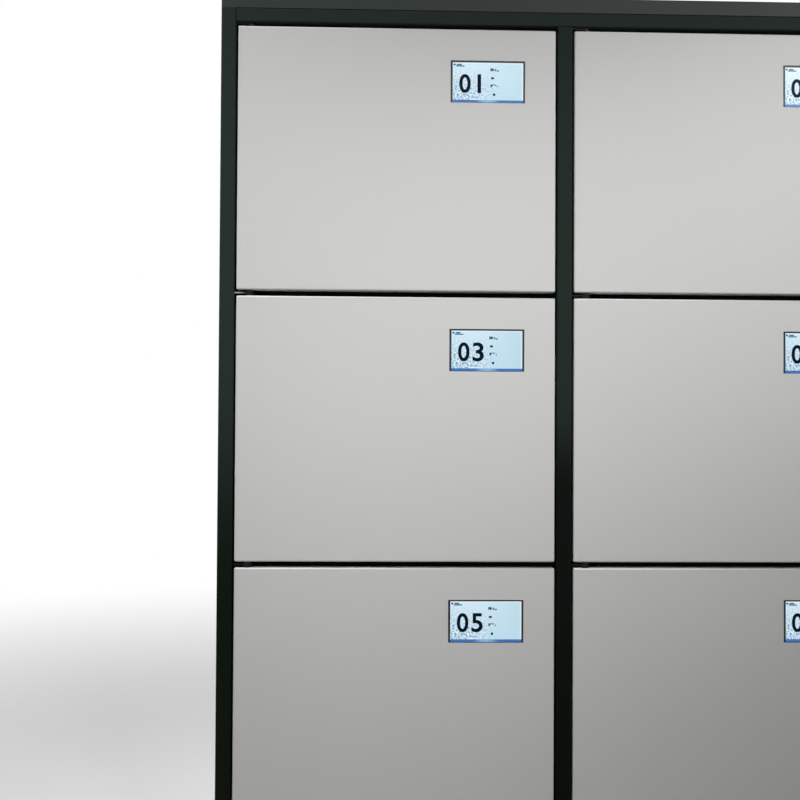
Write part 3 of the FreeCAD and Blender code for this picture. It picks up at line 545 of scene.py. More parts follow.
def picture_finish():
    """The lit picture: a pale blue gradient, broken drifts at the lower left and a blue strip at the foot."""
    finish, tree, shader = new_finish("screen_picture")
    face = add(tree, "ShaderNodeTexCoord").outputs["UV"]
    spot = parts_of(tree, face)
    across, up = spot["X"], spot["Y"]

    sky = blend_colour(tree, spread(tree, across, 0.3, 1.0), (0.62, 0.8, 0.91), (0.5, 0.715, 0.8))
    sky = blend_colour(tree, spread(tree, up, 1.0, 0.1, 0.0, 0.35), sky, (0.47, 0.66, 0.84))

    drifts = noise(tree, remap(tree, face, Scale=(1.76, 1.0, 1.0)), 19, 5.0, 0.72)
    corner = times(tree, spread(tree, across, 0.8, 0.1), spread(tree, up, 1.0, 0.2))
    pale = times(tree, spread(tree, drifts, 0.5, 0.57), corner)
    deep = times(tree, spread(tree, drifts, 0.51, 0.43), corner)
    sky = blend_colour(tree, times(tree, pale, 0.8), sky, (0.84, 0.88, 0.95))
    sky = blend_colour(tree, times(tree, deep, 0.95), sky, (0.1, 0.3, 0.46))

    rim = reckon(tree, "MAXIMUM", spread(tree, up, 0.955, 0.985), spread(tree, across, 0.972, 0.99))
    sky = blend_colour(tree, times(tree, rim, 0.55), sky, (0.88, 0.95, 0.98))

    from_middle = reckon(tree, "ABSOLUTE", minus(tree, across, 0.5))
    strip = blend_colour(tree, spread(tree, from_middle, 0.02, 0.2), (0.2, 0.45, 0.72), (0.03, 0.16, 0.46))
    shown = blend_colour(tree, reckon(tree, "LESS_THAN", up, 0.064), sky, strip)

    smear = noise(tree, object_place(tree), 90, 3.0)
    feed(
        tree, shader,
        Emission_Color=shown,
        Emission_Strength=0.95,
        Base_Color=blend_colour(tree, 0.96, shown, (0.0, 0.0, 0.0)),
        Roughness=spread(tree, smear, 0.3, 0.8, 0.14, 0.3),
        Specular_IOR_Level=0.35,
    )
    return finish


def print_finish(name, colour, glow, specular):
    """Shapes shown on the screen: a little glow of their own under the same glass."""
    finish, tree, shader = new_finish(name)
    smear = noise(tree, object_place(tree), 140, 3.0)
    tint = blend_colour(tree, spread(tree, smear, 0.2, 0.8), colour, tuple(part * 1.25 for part in colour))
    feed(
        tree, shader,
        Emission_Color=tint,
        Emission_Strength=glow,
        Base_Color=blend_colour(tree, 0.5, tint, (0.0, 0.0, 0.0)),
        Roughness=spread(tree, smear, 0.3, 0.8, 0.16, 0.3),
        Specular_IOR_Level=specular,
    )
    return finish


DOOR_COAT = powder_coat(
    # The pale worn colour on the rubbed edges is edge wear and also a painted highlight along the folds.
    "door_coat", (0.575, 0.572, 0.562), worn=(0.86, 0.855, 0.845),
    roughness=0.44, cloud=0.03, dusty=0.06, specular=0.4, rubbed=0.75,
    # Painted top-edge light: a painted highlight at the hinge side, painted shade at the far side.
    painted_top_edge_light=((0.72, 0.715, 0.7), (0.3, 0.292, 0.28)),
)
LINER_COAT = powder_coat(
    "liner_coat", (0.545, 0.54, 0.53), worn=(0.62, 0.61, 0.6),
    roughness=0.5, cloud=0.05, dusty=0.06, specular=0.4, rubbed=0.3,
)
# The frame coat is dark low down and turns paler from 0.47 to 0.75 m: a painted reflection over painted shade
# on the posts.
FRAME_COAT = powder_coat(
    "frame_coat", (0.006, 0.0085, 0.0052), worn=(0.04, 0.046, 0.043),
    roughness=0.55, cloud=0.25, dusty=0.04, specular=0.035, rubbed=0.4,
    painted_sheen=((0.0198, 0.0285, 0.0265), 0.47, 0.75),
)
# A darker copy of the frame coat for the centre post: painted shade, with a painted reflection between 0.59
# and 0.71 m.
CENTRE_SHADED_COAT = powder_coat(
    "centre_coat_painted_shade", (0.0038, 0.0058, 0.0042), worn=(0.03, 0.035, 0.032),
    roughness=0.55, cloud=0.25, dusty=0.04, specular=0.03, rubbed=0.4,
    painted_sheen=((0.0165, 0.0238, 0.02), 0.59, 0.71),
)
BODY_COAT = powder_coat(
    "body_coat", (0.015, 0.0205, 0.0185), worn=(0.05, 0.056, 0.053),
    roughness=0.52, cloud=0.25, dusty=0.05, specular=0.22, rubbed=0.5, peel=0.00004,
)
# A darker, duller copy of the body coat for the shelves: painted shade inside the seams between the doors.
SHELF_SHADED_COAT = powder_coat(
    "shelf_coat_painted_shade", (0.005, 0.0066, 0.006), worn=(0.03, 0.034, 0.032),
    roughness=0.6, cloud=0.25, dusty=0.05, specular=0.05, rubbed=0.4,
)
ZINC = plated("zinc_plate", (0.56, 0.56, 0.55), dull=(0.38, 0.38, 0.37), roughness=0.32)
# The hinge plates carry a painted glint near the left post at the upper seam.
BRACKET_STEEL = plated(
    "bracket_steel", (0.015, 0.0145, 0.014), dull=(0.009, 0.009, 0.009), roughness=0.42,
    painted_glint_spot=(-0.437, -0.246, 0.85),
)
PIN_STEEL = plated("pin_steel", (0.66, 0.65, 0.63), dull=(0.5, 0.49, 0.47), roughness=0.22)
HOOK_STEEL = plated("hook_steel", (0.5, 0.49, 0.46), dull=(0.3, 0.29, 0.27), roughness=0.34)
COIL_STEEL = plated("coil_steel", (0.42, 0.42, 0.42), dull=(0.28, 0.28, 0.28), roughness=0.4)
CASE_ALUMINIUM = plated("case_aluminium", (0.62, 0.63, 0.64), dull=(0.5, 0.51, 0.52), roughness=0.38)
PIN_BRASS = plated("contact_brass", (0.68, 0.55, 0.32), dull=(0.5, 0.38, 0.2), roughness=0.25)
SCREEN_BEZEL = moulded(
    "screen_bezel", (0.006, 0.007, 0.009), grain=1600.0, roughness=0.42, depth=0.00002, specular=0.35
)
LOCK_CASE = moulded("lock_case", (0.016, 0.016, 0.018), grain=900.0, roughness=0.5)
INLET_PLASTIC = moulded("inlet_plastic", (0.014, 0.014, 0.015), grain=1100.0, roughness=0.46)
BUSH_PLASTIC = moulded(
    "bush_plastic", (0.013, 0.0115, 0.011), grain=700.0, roughness=0.35, depth=0.00001, specular=0.15
)
FOOT_RUBBER = moulded(
    "foot_rubber", (0.022, 0.022, 0.022), grain=500.0, roughness=0.75, depth=0.00005, specular=0.3
)
STRIP_RUBBER = moulded(
    "strip_rubber", (0.0015, 0.0015, 0.0015), grain=1200.0, roughness=0.5, depth=0.00001, specular=0.06
)
PLUG_PLASTIC = moulded("plug_plastic", (0.02, 0.023, 0.022), grain=900.0, roughness=0.48)
CABLE_SHEATH = moulded("cable_sheath", (0.018, 0.018, 0.019), grain=300.0, roughness=0.55, depth=0.00004)
SCREEN_BACK = moulded("screen_back", (0.03, 0.032, 0.036), grain=1400.0, roughness=0.4)
CIRCUIT = circuit_finish()
PICTURE = picture_finish()
NUMBER_INK = print_finish("number_ink", (0.001, 0.005, 0.01), glow=0.6, specular=0.04)
LINE_INK = print_finish("line_ink", (0.008, 0.035, 0.055), glow=0.8, specular=0.08)
PALE_INK = print_finish("pale_ink", (0.06, 0.15, 0.2), glow=0.9, specular=0.15)
HEAD_INK = print_finish("head_ink", (0.025, 0.1, 0.17), glow=0.9, specular=0.12)


# ---------------------------------------------------------------- doors


def door_corner(number):
    """Lower left front corner of a door."""
    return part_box(f"door_{number}_shell")[0]


def on_door(corner, across, back, up):
    """A point on a door from its lower left front corner, in millimetres."""
    return corner + mm(across, back, up)


def make_door_panel():
    """Folded front pan with the screen's cut-out, and two pivot blocks with their bores."""
    low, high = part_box("door_01_shell")
    left, right = low.x + CUTOUT_LEFT * MM, low.x + CUTOUT_RIGHT * MM
    foot, head = low.z + CUTOUT_LOW * MM, low.z + CUTOUT_HIGH * MM

    def on_front(middle, normal):
        return normal.y < -0.999

    def in_cutout(middle, normal):
        return on_front(middle, normal) and left < middle.x < right and foot < middle.z < head

    def on_cutout_rim(middle, along):
        beside = min(abs(middle.x - left), abs(middle.x - right)) < HAIR and foot < middle.z < head
        above = min(abs(middle.z - foot), abs(middle.z - head)) < HAIR and left < middle.x < right
        return abs(middle.y - low.y) < HAIR and abs(along.y) < 0.1 and (beside or above)

    panel = blank("door_01_panel", low, high)
    open_up(panel, lambda middle, normal: normal.y > 0.9)
    round_over(panel, FOLD, 6, lambda middle, along: middle.y < high.y - HAIR)
    for point, direction in (
        ((left, 0, 0), (1, 0, 0)),
        ((right, 0, 0), (1, 0, 0)),
        ((0, 0, foot), (0, 0, 1)),
        ((0, 0, head), (0, 0, 1)),
    ):
        pick(panel, "FACE", on_front)
        bpy.ops.mesh.bisect(plane_co=point, plane_no=direction)
    open_up(panel, in_cutout)
    fold_sheet(panel, SHEET)
    round_over(panel, 0.3 * MM, 3, on_cutout_rim)

    parts = [panel]
    inside = 1.02
    for block_foot, bore_foot in ((1, -2), (DOOR_TALL - 12, DOOR_TALL - 14)):
        block = blank(
            "block",
            on_door(low, inside, inside, block_foot),
            on_door(low, BLOCK_RIGHT, BLOCK_BACK, block_foot + BLOCK_TALL),
        )
        break_edges(block, 0.4 * MM)
        bore = on_door(low, AXIS_ACROSS, AXIS_BACK, bore_foot)
        for part in (panel, block):
            take_away(part, round_blank("bore", bore, 16 * MM, BORE_RADIUS * MM))
        parts.append(block)
    return smooth(join("door_01_panel", parts))


def make_door_back():
    """Inner tray of a door, with a shallow pressed field that stiffens it."""
    low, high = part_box("door_01_liner")
    border, slope, depth = 27 * MM, 3 * MM, 1.6 * MM
    inner_left, inner_right = low.x + border - MM, high.x - border + MM

    def on_outline(middle, along):
        beside = min(abs(middle.x - low.x), abs(middle.x - high.x)) < HAIR
        above = min(abs(middle.z - low.z), abs(middle.z - high.z)) < HAIR
        return middle.y > high.y - HAIR and (beside or above)

    def on_field(middle, along):
        return inner_left < middle.x < inner_right and abs(along.y) < 0.2

    tray = blank("door_01_back", low, high)
    pick(tray, "FACE", lambda middle, normal: normal.y > 0.9)
    bpy.ops.mesh.inset(thickness=border, depth=0)
    bpy.ops.mesh.inset(thickness=slope, depth=-depth)
    open_up(tray, lambda middle, normal: normal.y < -0.9)
    round_over(tray, 0.9 * MM, 3, on_outline)
    round_over(tray, 0.8 * MM, 3, on_field)
    return smooth(fold_sheet(tray, SHEET))


def make_pan_head(name, diameter, height):
    """Pan head screw with a cross recess, standing on the origin and looking up +Z."""

    def on_top(middle, along):
        return middle.z > height - HAIR and abs(along.z) < 0.1

    head = round_blank(name, (0, 0, 0), height, diameter / 2, sides=36)
    round_over(head, height * 0.55, 5, on_top)
    reach, half, floor = diameter * 0.31, diameter * 0.055, height * 0.42
    for wide, deep in ((half, reach), (reach, half)):
        take_away(head, blank("recess", (-wide, -deep, floor), (wide, deep, height * 2)))
    return smooth(head, 30)


def make_keeper(small_head):
    """Strike of the lock: a plate with a welded hoop of round rod and two screws, in millimetres."""
    half_wide, half_tall, front, back = 11, 15, 20, 22
    rod, leg, bend, root, reach = 2, 6, 3, 21, 16
    middle = on_door(door_corner("01"), STRIKE_ACROSS, 0, STRIKE_UP)

    def draw_out(across, back):
        bpy.ops.mesh.extrude_region_move(TRANSFORM_OT_translate={"value": mm(across, back, 0)})

    def turn_about(across):
        centre = middle + mm(across, root + reach, 0)
        bpy.ops.mesh.spin(steps=6, angle=QUARTER, center=centre, axis=(0, 0, 1))

    plate = blank(
        "keeper_plate", middle + mm(-half_wide, front, -half_tall), middle + mm(half_wide, back, half_tall)
    )
    round_over(plate, 3 * MM, 5, lambda spot, along: abs(along.y) > 0.9)
    break_edges(plate, 0.3 * MM)
    put_down()
    bpy.ops.mesh.primitive_circle_add(
        vertices=20, radius=rod * MM, location=middle + mm(-leg, root, 0), rotation=(QUARTER, 0, 0)
    )
    hoop = settle(named(bpy.context.object, "keeper_hoop"))
    bpy.ops.object.mode_set(mode="EDIT")
    bpy.ops.mesh.select_all(action="SELECT")
    draw_out(0, reach)
    turn_about(bend - leg)
    draw_out(2 * (leg - bend), 0)
    turn_about(leg - bend)
    draw_out(0, -reach)
    bpy.ops.mesh.select_all(action="SELECT")
    bpy.ops.mesh.remove_doubles(threshold=HAIR)
    bpy.ops.mesh.fill_holes(sides=0)
    bpy.ops.mesh.normals_make_consistent(inside=False)
    put_down()
    parts = [plate, hoop]
    for side in (-1, 1):
        seat = middle + mm(0, back, 11 * side)
        parts.append(twin(small_head, f"keeper_screw_{side + 1}", seat, (-QUARTER, 0.4 + side, 0)))
    return smooth(join("door_01_keeper", parts))


def make_picture():
    """Front of the lit panel, with its own upright map of the picture."""
    margin = 0.1
    wide, tall = SCREEN_WIDTH - 2 * margin, SCREEN_HEIGHT - 2 * margin
    centre = on_door(
        door_corner("01"), SCREEN_LEFT + margin + wide / 2, PICTURE_BACK, SCREEN_LOW + margin + tall / 2
    )
    put_down()
    bpy.ops.mesh.primitive_plane_add(size=1, location=centre, rotation=(QUARTER, 0, 0))
    sheet = named(bpy.context.object, "door_01_picture")
    sheet.scale = (wide * MM, tall * MM, 1)
    return modify(settle(sheet), "SOLIDIFY", thickness=PANE * MM, offset=1)


# Shares of the picture: foot and top of the figures, then left and right of each
FIGURE_FOOT, FIGURE_TOP = 1 - 0.762, 1 - 0.292
FIGURE_CELLS = ((0.094, 0.256), (0.298, 0.456))


def make_number(number):
    """Two upright figures cut from thin film and laid on the picture."""
    corner = door_corner(number)
    foot, top = SCREEN_HEIGHT * FIGURE_FOOT, SCREEN_HEIGHT * FIGURE_TOP
    figures = []
    for figure, (start, stop) in zip(number, FIGURE_CELLS):
        put_down()
        bpy.ops.object.text_add(rotation=(QUARTER, 0, 0))
        text = bpy.context.object.data
        text.body = figure
        text.size = 0.04
        text.offset = 0.0008
        text.extrude = INK / 2 * MM
        text.resolution_u = 8
        bpy.ops.object.convert(target="MESH")
        shape = settle(named(bpy.context.object, f"figure_{figure}"))
        spots = [point.co for point in shape.data.vertices]
        low = Vector([min(spot[axis] for spot in spots) for axis in range(3)])
        high = Vector([max(spot[axis] for spot in spots) for axis in range(3)])
        tall = (top - foot) * MM / (high.z - low.z)
        wide = tall if figure == "1" else (stop - start) * SCREEN_WIDTH * MM / (high.x - low.x)
        across = SCREEN_LEFT + (start + stop) / 2 * SCREEN_WIDTH
        place = on_door(corner, across, PICTURE_BACK - PANE - INK / 2, SCREEN_LOW + foot)
        shape.scale = (wide, 1, tall)
        shape.location = place - Vector(((low.x + high.x) / 2 * wide, 0, low.z * tall))
        figures.append(settle(shape))
    return join(f"door_{number}_number", figures)


def make_line(name, corner, left, right, middle, height):
    """Short rounded line on the screen: shares of the picture, and a height in millimetres."""
    up = SCREEN_LOW + (1 - middle) * SCREEN_HEIGHT
    front, back = PICTURE_BACK - PANE - INK, PICTURE_BACK - PANE
    line = blank(
        name,
        on_door(corner, SCREEN_LEFT + left * SCREEN_WIDTH, front, up - height / 2),
        on_door(corner, SCREEN_LEFT + right * SCREEN_WIDTH, back, up + height / 2),
    )
    round_over(line, height * 0.45 * MM, 4, lambda spot, along: abs(along.y) > 0.9)
    return line


def make_rows(name, rows):
    """Lines on the first door's screen, as one piece."""
    corner = door_corner("01")
    return join(name, [make_line(f"row_{index}", corner, *row) for index, row in enumerate(rows)])


# Lines on the screen: left, right and middle as shares of the picture, height in millimetres
DARK_ROWS = (
    (0.534, 0.556, 0.176, 4.0),
    (0.558, 0.582, 0.176, 4.0),
    (0.541, 0.587, 0.387, 2.8),
    (0.536, 0.560, 0.578, 4.0),
    (0.563, 0.576, 0.556, 2.4),
    (0.569, 0.606, 0.797, 3.6),
)
PALE_ROWS = (
    (0.592, 0.620, 0.184, 3.4),
    (0.622, 0.656, 0.204, 2.0),
    (0.582, 0.614, 0.556, 1.8),
    (0.622, 0.642, 0.592, 2.0),
)
HEAD_ROWS = (
    (0.012, 0.044, 0.056, 2.8),
    (0.058, 0.130, 0.056, 1.9),
    (0.046, 0.169, 0.092, 1.5),
)

first_corner = door_corner("01")
small_head = make_pan_head("small_head", 7 * MM, 2 * MM)
large_head = make_pan_head("large_head", 9 * MM, 2 * MM)

# Piece, name, finish, slot, and whether it takes the place of the plain part with the slot's name
masters = (
    (make_door_panel(), "panel", DOOR_COAT, "shell", True),
    (make_door_back(), "back", LINER_COAT, "liner", True),
    (make_keeper(small_head), "keeper", ZINC, "strike", True),
    (make_picture(), "picture", PICTURE, "display_screen", False),
    (make_rows("door_01_dark_rows", DARK_ROWS), "dark_rows", LINE_INK, "display_screen", False),
    (make_rows("door_01_pale_rows", PALE_ROWS), "pale_rows", PALE_INK, "display_screen", False),
    (make_rows("door_01_heading", HEAD_ROWS), "heading", HEAD_INK, "display_screen", False),
)
for number in LOCKERS:
    body = f"door_{number}"
    shift = door_corner(number) - first_corner
    for master, name, finish, slot, replaces in masters:
        piece = master if number == "01" else twin(master, f"{body}_{name}", shift)
        nodes = [f"{body}_{slot}"] if replaces else []
        fit(piece, body, finish, f"{body}_{slot}", *nodes)
    fit(make_number(number), body, NUMBER_INK, f"{body}_display_screen")


# ---------------------------------------------------------------- frame and skins


def make_tube(name, low, high, axis):
    """Square tube with rounded corners, open at its ends."""
    tube = blank(name, low, high)
    open_up(tube, lambda middle, normal: abs(normal[axis]) > 0.9)
    round_over(tube, FOLD, 5, lambda middle, along: abs(along[axis]) > 0.9)
    return smooth(fold_sheet(tube, 1.5 * MM))


for node, coat in (("left_post", FRAME_COAT), ("centre_post", CENTRE_SHADED_COAT), ("right_post", FRAME_COAT)):
    fit(make_tube(f"{node}_tube", *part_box(node), 2), "cabinet", coat, node, node)

rails_low, rails_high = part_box("cross_rails")
rails = []
for name, foot, head in (
    ("low", rails_low.z, rails_low.z + 29 * MM),
    ("high", rails_high.z - 19 * MM, rails_high.z),
):
    low = Vector((rails_low.x, rails_low.y, foot))
    high = Vector((rails_high.x, rails_high.y, head))
    rails.append(make_tube(f"rail_{name}", low, high, 0))
fit(join("cross_rail_tubes", rails), "cabinet", FRAME_COAT, "cross_rails", "cross_rails")


def make_seam_strips():
    """Half-round sealing strips on the front lips of the two upper shelves, in millimetres."""
    start, stop, below, above, thick, sunk = 44, 427, 1.8, 1.2, 1.6, 0.02
    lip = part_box("shelves")[0].y
    front = lip - thick * MM

    def on_front(middle, along):
        return middle.y < front + HAIR and abs(along.x) > 0.9

    strips = []
    for left in BAY_LEFTS:
        for edge in ROW_EDGES[1:3]:
            low = (left + start * MM, front, edge - below * MM)
            high = (left + stop * MM, lip + sunk * MM, edge + above * MM)
            strips.append(blank("strip", low, high))
            round_over(strips[-1], 1.3 * MM, 5, on_front)
    return smooth(join("seam_strips", strips))


def make_roof_cap():
    """Roof with its folds rounded over."""
    low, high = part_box("roof_panel")
    cap = blank("roof_cap", low, high)
    round_over(cap, 2 * MM, 5, lambda middle, along: middle.z > low.z + HAIR)
    return smooth(cap)


fit(make_seam_strips(), "cabinet", STRIP_RUBBER, "shelves")
fit(make_roof_cap(), "cabinet", BODY_COAT, "roof_panel", "roof_panel")


# Plugs in the side walls: places in metres, then gap, recess and the two radii in millimetres
PLUG_INSET, PLUG_HEIGHTS = 0.03, (0.2, 0.675, 1.15)
PLUG_GAP, PLUG_RECESS, RECESS_RADIUS, PLUG_RADIUS = 0.1, 0.9, 7, 6.8


def make_side_skin(side):
    """Side wall with small fold radii and recesses for the plugs over its joining holes."""
    node = f"{side}_side_panel"
    low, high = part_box(node)
    outer, inward = (low.x, 1) if side == "left" else (high.x, -1)

    def disc(name, first, last, radius, depth, height):
        """Round blank between two depths under the outer face."""
        start = outer + min(inward * first, inward * last) * MM
        return round_blank(name, (start, depth, height), (last - first) * MM, radius * MM, "x", 40)

    def on_plug_rim(middle, along):
        return abs(middle.x - outer - inward * PLUG_GAP * MM) < HAIR and abs(along.x) < 0.1

    skin = blank(f"{side}_side_skin", low, high)
    round_over(skin, 1.2 * MM, 3, lambda middle, along: True)
    plugs = []
    for depth in (low.y + PLUG_INSET, high.y - PLUG_INSET):
        for height in PLUG_HEIGHTS:
            take_away(skin, disc("recess", -1, PLUG_RECESS, RECESS_RADIUS, depth, height))
            plug = disc("plug", PLUG_GAP, PLUG_RECESS, PLUG_RADIUS, depth, height)
            round_over(plug, 0.5 * MM, 3, on_plug_rim)
            pick(plug, "FACE", lambda middle, normal: normal.x * inward < -0.99)
            bpy.ops.mesh.inset(thickness=2.2 * MM, depth=0)
            bpy.ops.mesh.inset(thickness=0.5 * MM, depth=-0.3 * MM)
            plugs.append(smooth(plug))
    fit(smooth(skin), "cabinet", BODY_COAT, node, node)
    fit(join(f"{side}_side_plugs", plugs), "cabinet", PLUG_PLASTIC, "power_inlet")


make_side_skin("left")
make_side_skin("right")


# ---------------------------------------------------------------- rear

# Places on the rear cover, in metres
LOUVRE_ASIDE, LOUVRE_WIDE, LOUVRE_TOP, LOUVRE_PITCH, LOUVRES = 0.23, 0.12, 1.1, 0.016, 8
SCREW_ASIDE, SCREW_LOW, SCREW_HIGH, SCREWS = 0.45, 0.16, 1.17, 4

# Hinge bracket: height of its side and thickness in millimetres, place of its screws in metres
BRACKET_SIDE, BRACKET_PLATE, BRACKET_SCREW_BACK = 28, 2, -0.2178


def make_louvres():
    """Pressed hoods over the slots of the rear cover."""
    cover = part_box("rear_service_cover")[1].y
    places = [
        Vector((side * LOUVRE_ASIDE - LOUVRE_WIDE / 2, cover, LOUVRE_TOP - index * LOUVRE_PITCH))
        for side in (-1, 1)
        for index in range(LOUVRES)
    ]
    first = places[0]
    hood = blank("hood", first + mm(-2, 0, -1), first + Vector((LOUVRE_WIDE, 0, 0)) + mm(2, 3.2, 9))
    open_up(hood, lambda middle, normal: normal.y < -0.9 or normal.z < -0.9)

    def on_brow(middle, along):
        return middle.y > cover + HAIR and middle.z > first.z and abs(along.z) < 0.9

    def on_cheek(middle, along):
        return middle.y > cover + HAIR and abs(along.z) > 0.9

    round_over(hood, 2.9 * MM, 6, on_brow)
    round_over(hood, 2.4 * MM, 4, on_cheek)
    hoods = [smooth(fold_sheet(hood, 0.8 * MM), 50)]
    for place in places[1:]:
        hoods.append(twin(hood, "hood", place - first))
    return join("cover_louvres", hoods)


def make_cover_screws():
    """Screws down both sides of the rear cover."""
    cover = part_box("rear_service_cover")[1].y
    screws = []
    for side in (-1, 1):
        for step in range(SCREWS):
            height = SCREW_LOW + step * (SCREW_HIGH - SCREW_LOW) / (SCREWS - 1)
            turn = (-QUARTER, 0.7 * step + side, 0)
            screws.append(twin(large_head, "cover_screw", (side * SCREW_ASIDE, cover, height), turn))
    return join("cover_screws", screws)


def make_bracket_screws():
    """Two screws through the side of each hinge bracket. The sides stand up, except at the top edge."""
    screws = []
    for left in BAY_LEFTS:
        for row, edge in enumerate(ROW_EDGES):
            away = -1 if edge == ROW_EDGES[-1] else 1
            for share in (0.25, 0.75):
                rise = (BRACKET_PLATE / 2 + BRACKET_SIDE * share) * MM
                place = (left + BRACKET_PLATE * MM, BRACKET_SCREW_BACK, edge + away * rise)
                turn = (QUARTER, QUARTER - 0.5 * row - share, QUARTER)
                screws.append(twin(small_head, "bracket_screw", place, turn))
    return join("bracket_screws", screws)


fit(make_louvres(), "cabinet", BODY_COAT, "rear_service_cover")
fit(make_cover_screws(), "cabinet", ZINC, "screws", "screws")
fit(make_bracket_screws(), "cabinet", ZINC, "screws", "screws")
bpy.data.objects.remove(small_head)
bpy.data.objects.remove(large_head)


def make_inlet():
    """Mains inlet: a flange with rounded ends round a deep shroud, and three flat contacts."""
    low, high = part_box("power_inlet")
    middle = Vector(((low.x + high.x) / 2, high.y, (low.z + high.z) / 2))

    def at(across, back, up):
        return middle + mm(across, back, up)

    flange = blank("inlet_shroud", at(-25, -2, -15), at(25, 0, 15))
    round_over(flange, 6 * MM, 6, lambda spot, along: abs(along.y) > 0.9)
    break_edges(flange, 0.5 * MM)
    body = blank("inlet_body", at(-14, -27, -12), at(14, -1.98, 12))
    break_edges(body, 0.6 * MM)
    parts = []
    for part in (flange, body):
        shaft = blank("shaft", at(-12, -17, -8), at(12, 5, 8))
        round_over(shaft, 3.5 * MM, 1, lambda spot, along: abs(along.y) > 0.9 and spot.z < middle.z)
        parts.append(take_away(part, shaft))
    for side in (-1, 1):
        take_away(flange, round_blank("hole", at(side * 20, -5, 0), 10 * MM, 1.6 * MM, "y", 24))
    contacts = []
    for step in (-1, 0, 1):
        contact = blank("contact", at(7 * step - 1, -17, -2), at(7 * step + 1, -5, 2))
        contacts.append(break_edges(contact, 0.4 * MM, 3))
    return smooth(join("inlet_shroud", parts)), smooth(join("inlet_contacts", contacts))


shroud, contacts = make_inlet()
fit(shroud, "cabinet", INLET_PLASTIC, "power_inlet", "power_inlet")
fit(contacts, "cabinet", PIN_BRASS, "power_inlet")


# ---------------------------------------------------------------- parts that keep their made shape


def dress(node, finish):
    """Give a made part its finish."""
    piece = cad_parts[node]
    for slot in piece.material_slots:
        slot.material = finish
    if not piece.material_slots:
        piece.data.materials.append(finish)


def soften(node, name, body, finish, radius, segments):
    """Merged copy of a made part with its edges broken, in place of the part itself."""
    piece = bpy.data.objects.new(name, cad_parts[node].data.copy())
    bpy.context.scene.collection.objects.link(named(piece, name))
    take(piece)
    bpy.ops.object.mode_set(mode="EDIT")
    bpy.ops.mesh.select_all(action="SELECT")
    bpy.ops.mesh.remove_doubles(threshold=0.001 * MM)
    bpy.ops.mesh.dissolve_limited(angle_limit=math.radians(0.5))
    put_down()
    break_edges(piece, radius * MM, segments)
    fit(smooth(piece), body, finish, node, node)


KEPT = {
    "floor_panel": BODY_COAT,
    "centre_partition": BODY_COAT,
    "back_panel": BODY_COAT,
    "rear_service_cover": BODY_COAT,
    "shelves": SHELF_SHADED_COAT,
    "hinge_pins": PIN_STEEL,
    "hinge_bushes": BUSH_PLASTIC,
    "lock_solenoids": COIL_STEEL,
    "control_board": CIRCUIT,
    "wiring_harness": CABLE_SHEATH,
}

# Node, name of the copy, finish, radius of its edges in millimetres, steps of the round
SOFTENED = (
    ("plinth", "plinth_frame", BODY_COAT, 0.8, 3),
    ("foot_pads", "rubber_feet", FOOT_RUBBER, 0.6, 3),
    ("hinge_brackets", "hinge_plates", BRACKET_STEEL, 0.25, 2),
    ("lock_housings", "lock_cases", LOCK_CASE, 0.4, 2),
    ("power_supply", "supply_case", CASE_ALUMINIUM, 0.5, 2),
)

for node, finish in KEPT.items():
    dress(node, finish)
for number in LOCKERS:
    dress(f"door_{number}_display_housing", SCREEN_BEZEL)
    dress(f"door_{number}_display_screen", SCREEN_BACK)
for node, name, finish, radius, segments in SOFTENED:
    soften(node, name, "cabinet", finish, radius, segments)
for number in LOCKERS:
    soften(f"lock_hook_{number}", f"hook_{number}", f"lock_hook_{number}", HOOK_STEEL, 0.3, 2)


# ---------------------------------------------------------------- studio

# Area lamps: name, place, point aimed at, width, height, power and spread in degrees
LAMPS = (
    ("key_lamp", (0.6, -1.4, 1.65), (0.08, -0.25, 0.86), 1.3, 0.5, 2.45, 44),
    ("ledge_lamp", (-1.05, -0.8, 2.25), (-0.5, -0.25, 0.85), 0.6, 0.3, 1.85, 46),
    ("side_lamp", (-2.6, 0.2, 1.7), (0, 0, 0.7), 1.4, 1.6, 22, 180),
    ("other_side_lamp", (2.6, 0.6, 1.9), (0, 0, 0.7), 1.4, 1.6, 22, 180),
    ("rear_lamp", (0.2, 2.7, 2.0), (0, 0, 0.7), 1.6, 1.4, 30, 180),
)

# Camera: place in metres, turns about X, Y and Z in degrees, focal length and picture's width in pixels
CAMERA_PLACE = (-0.2663, -1.744, 0.6801)
CAMERA_TURN = (1.093, -0.317, -1.802)
FOCAL_PIXELS, PICTURE_PIXELS, SENSOR = 1126, 800, 36


def seen_ray(tree):
    """Rays of the camera, of gloss and of glass, which see plain white where they look past the cabinet."""
    rays = add(tree, "ShaderNodeLightPath").outputs
    seen = reckon(tree, "MAXIMUM", rays["Is Camera Ray"], rays["Is Glossy Ray"])
    return reckon(tree, "MAXIMUM", seen, rays["Is Transmission Ray"])


def mix_white(tree, kind, amount, surface, output):
    """Blend plain white over a surface and hand the result to the output."""
    white = feed(tree, add(tree, kind), Color=(1.0, 1.0, 1.0), Strength=1.0)
    both = add(tree, "ShaderNodeMixShader")
    for socket, value in zip(both.inputs, (amount, surface.outputs[0], white.outputs[0])):
        give(tree, socket, value)
    feed(tree, tree.nodes[output], Surface=both.outputs[0])


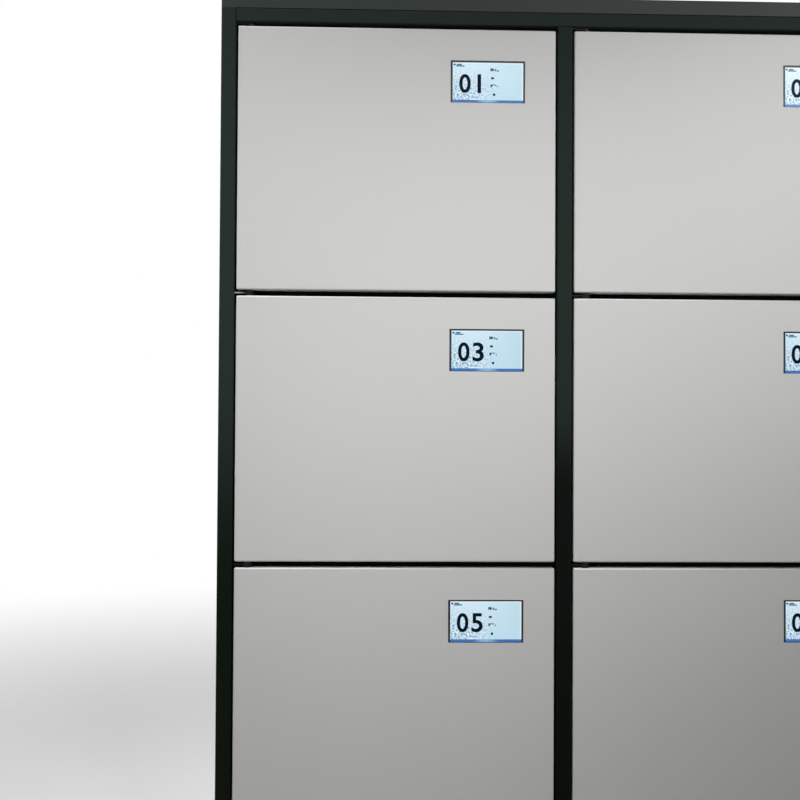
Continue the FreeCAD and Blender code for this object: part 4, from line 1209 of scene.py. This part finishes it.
def make_floor():
    """Pale floor that keeps the cabinet's shadow near it and runs out into the white behind."""
    put_down()
    bpy.ops.mesh.primitive_plane_add(size=24, location=(0, 0, -0.0005))
    floor = settle(named(bpy.context.object, "studio_floor"))
    finish, tree, shader = new_finish("studio_floor")
    feed(tree, shader, Base_Color=(0.8, 0.8, 0.8), Roughness=0.6)
    far = spread(tree, measure(tree, "LENGTH", object_place(tree)), 0.9, 3.2)
    mix_white(tree, "ShaderNodeEmission", times(tree, far, seen_ray(tree)), shader, "Material Output")
    floor.data.materials.append(finish)


def make_world():
    """Soft even room light, with plain white where the camera, gloss or glass looks past the cabinet."""
    world = bpy.data.worlds.new("studio")
    bpy.context.scene.world = world
    world.use_nodes = True
    tree = world.node_tree
    room = feed(tree, tree.nodes["Background"], Color=(1.0, 1.0, 1.0), Strength=0.15)
    mix_white(tree, "ShaderNodeBackground", seen_ray(tree), room, "World Output")


def hang_lamp(name, place, aim, wide, tall, power, cone):
    """Area lamp that looks at a point."""
    put_down()
    bpy.ops.object.light_add(type="AREA", location=place)
    lamp = bpy.context.object
    lamp.name = name
    lamp.data.shape = "RECTANGLE"
    lamp.data.size = wide
    lamp.data.size_y = tall
    lamp.data.energy = power
    lamp.data.spread = math.radians(cone)
    lamp.rotation_euler = (Vector(aim) - Vector(place)).to_track_quat("-Z", "Y").to_euler()


def make_camera():
    """Camera in front of the left column, turned a little to the right."""
    about_x, about_y, about_z = (
        Matrix.Rotation(math.radians(angle), 4, axis) for angle, axis in zip(CAMERA_TURN, "XYZ")
    )
    turn = about_z @ about_y @ about_x
    level = Matrix.Rotation(QUARTER, 4, "X")
    camera = bpy.data.cameras.new("camera")
    camera.sensor_width = SENSOR
    camera.lens = SENSOR * FOCAL_PIXELS / PICTURE_PIXELS
    camera.clip_start = 0.05
    camera.clip_end = 100
    stand = bpy.data.objects.new("camera", camera)
    bpy.context.scene.collection.objects.link(stand)
    stand.matrix_world = Matrix.Translation(CAMERA_PLACE) @ turn @ level
    bpy.context.scene.camera = stand


make_floor()
make_world()
for lamp in LAMPS:
    hang_lamp(*lamp)
make_camera()
bpy.context.scene.view_settings.view_transform = "Standard"

put_down()
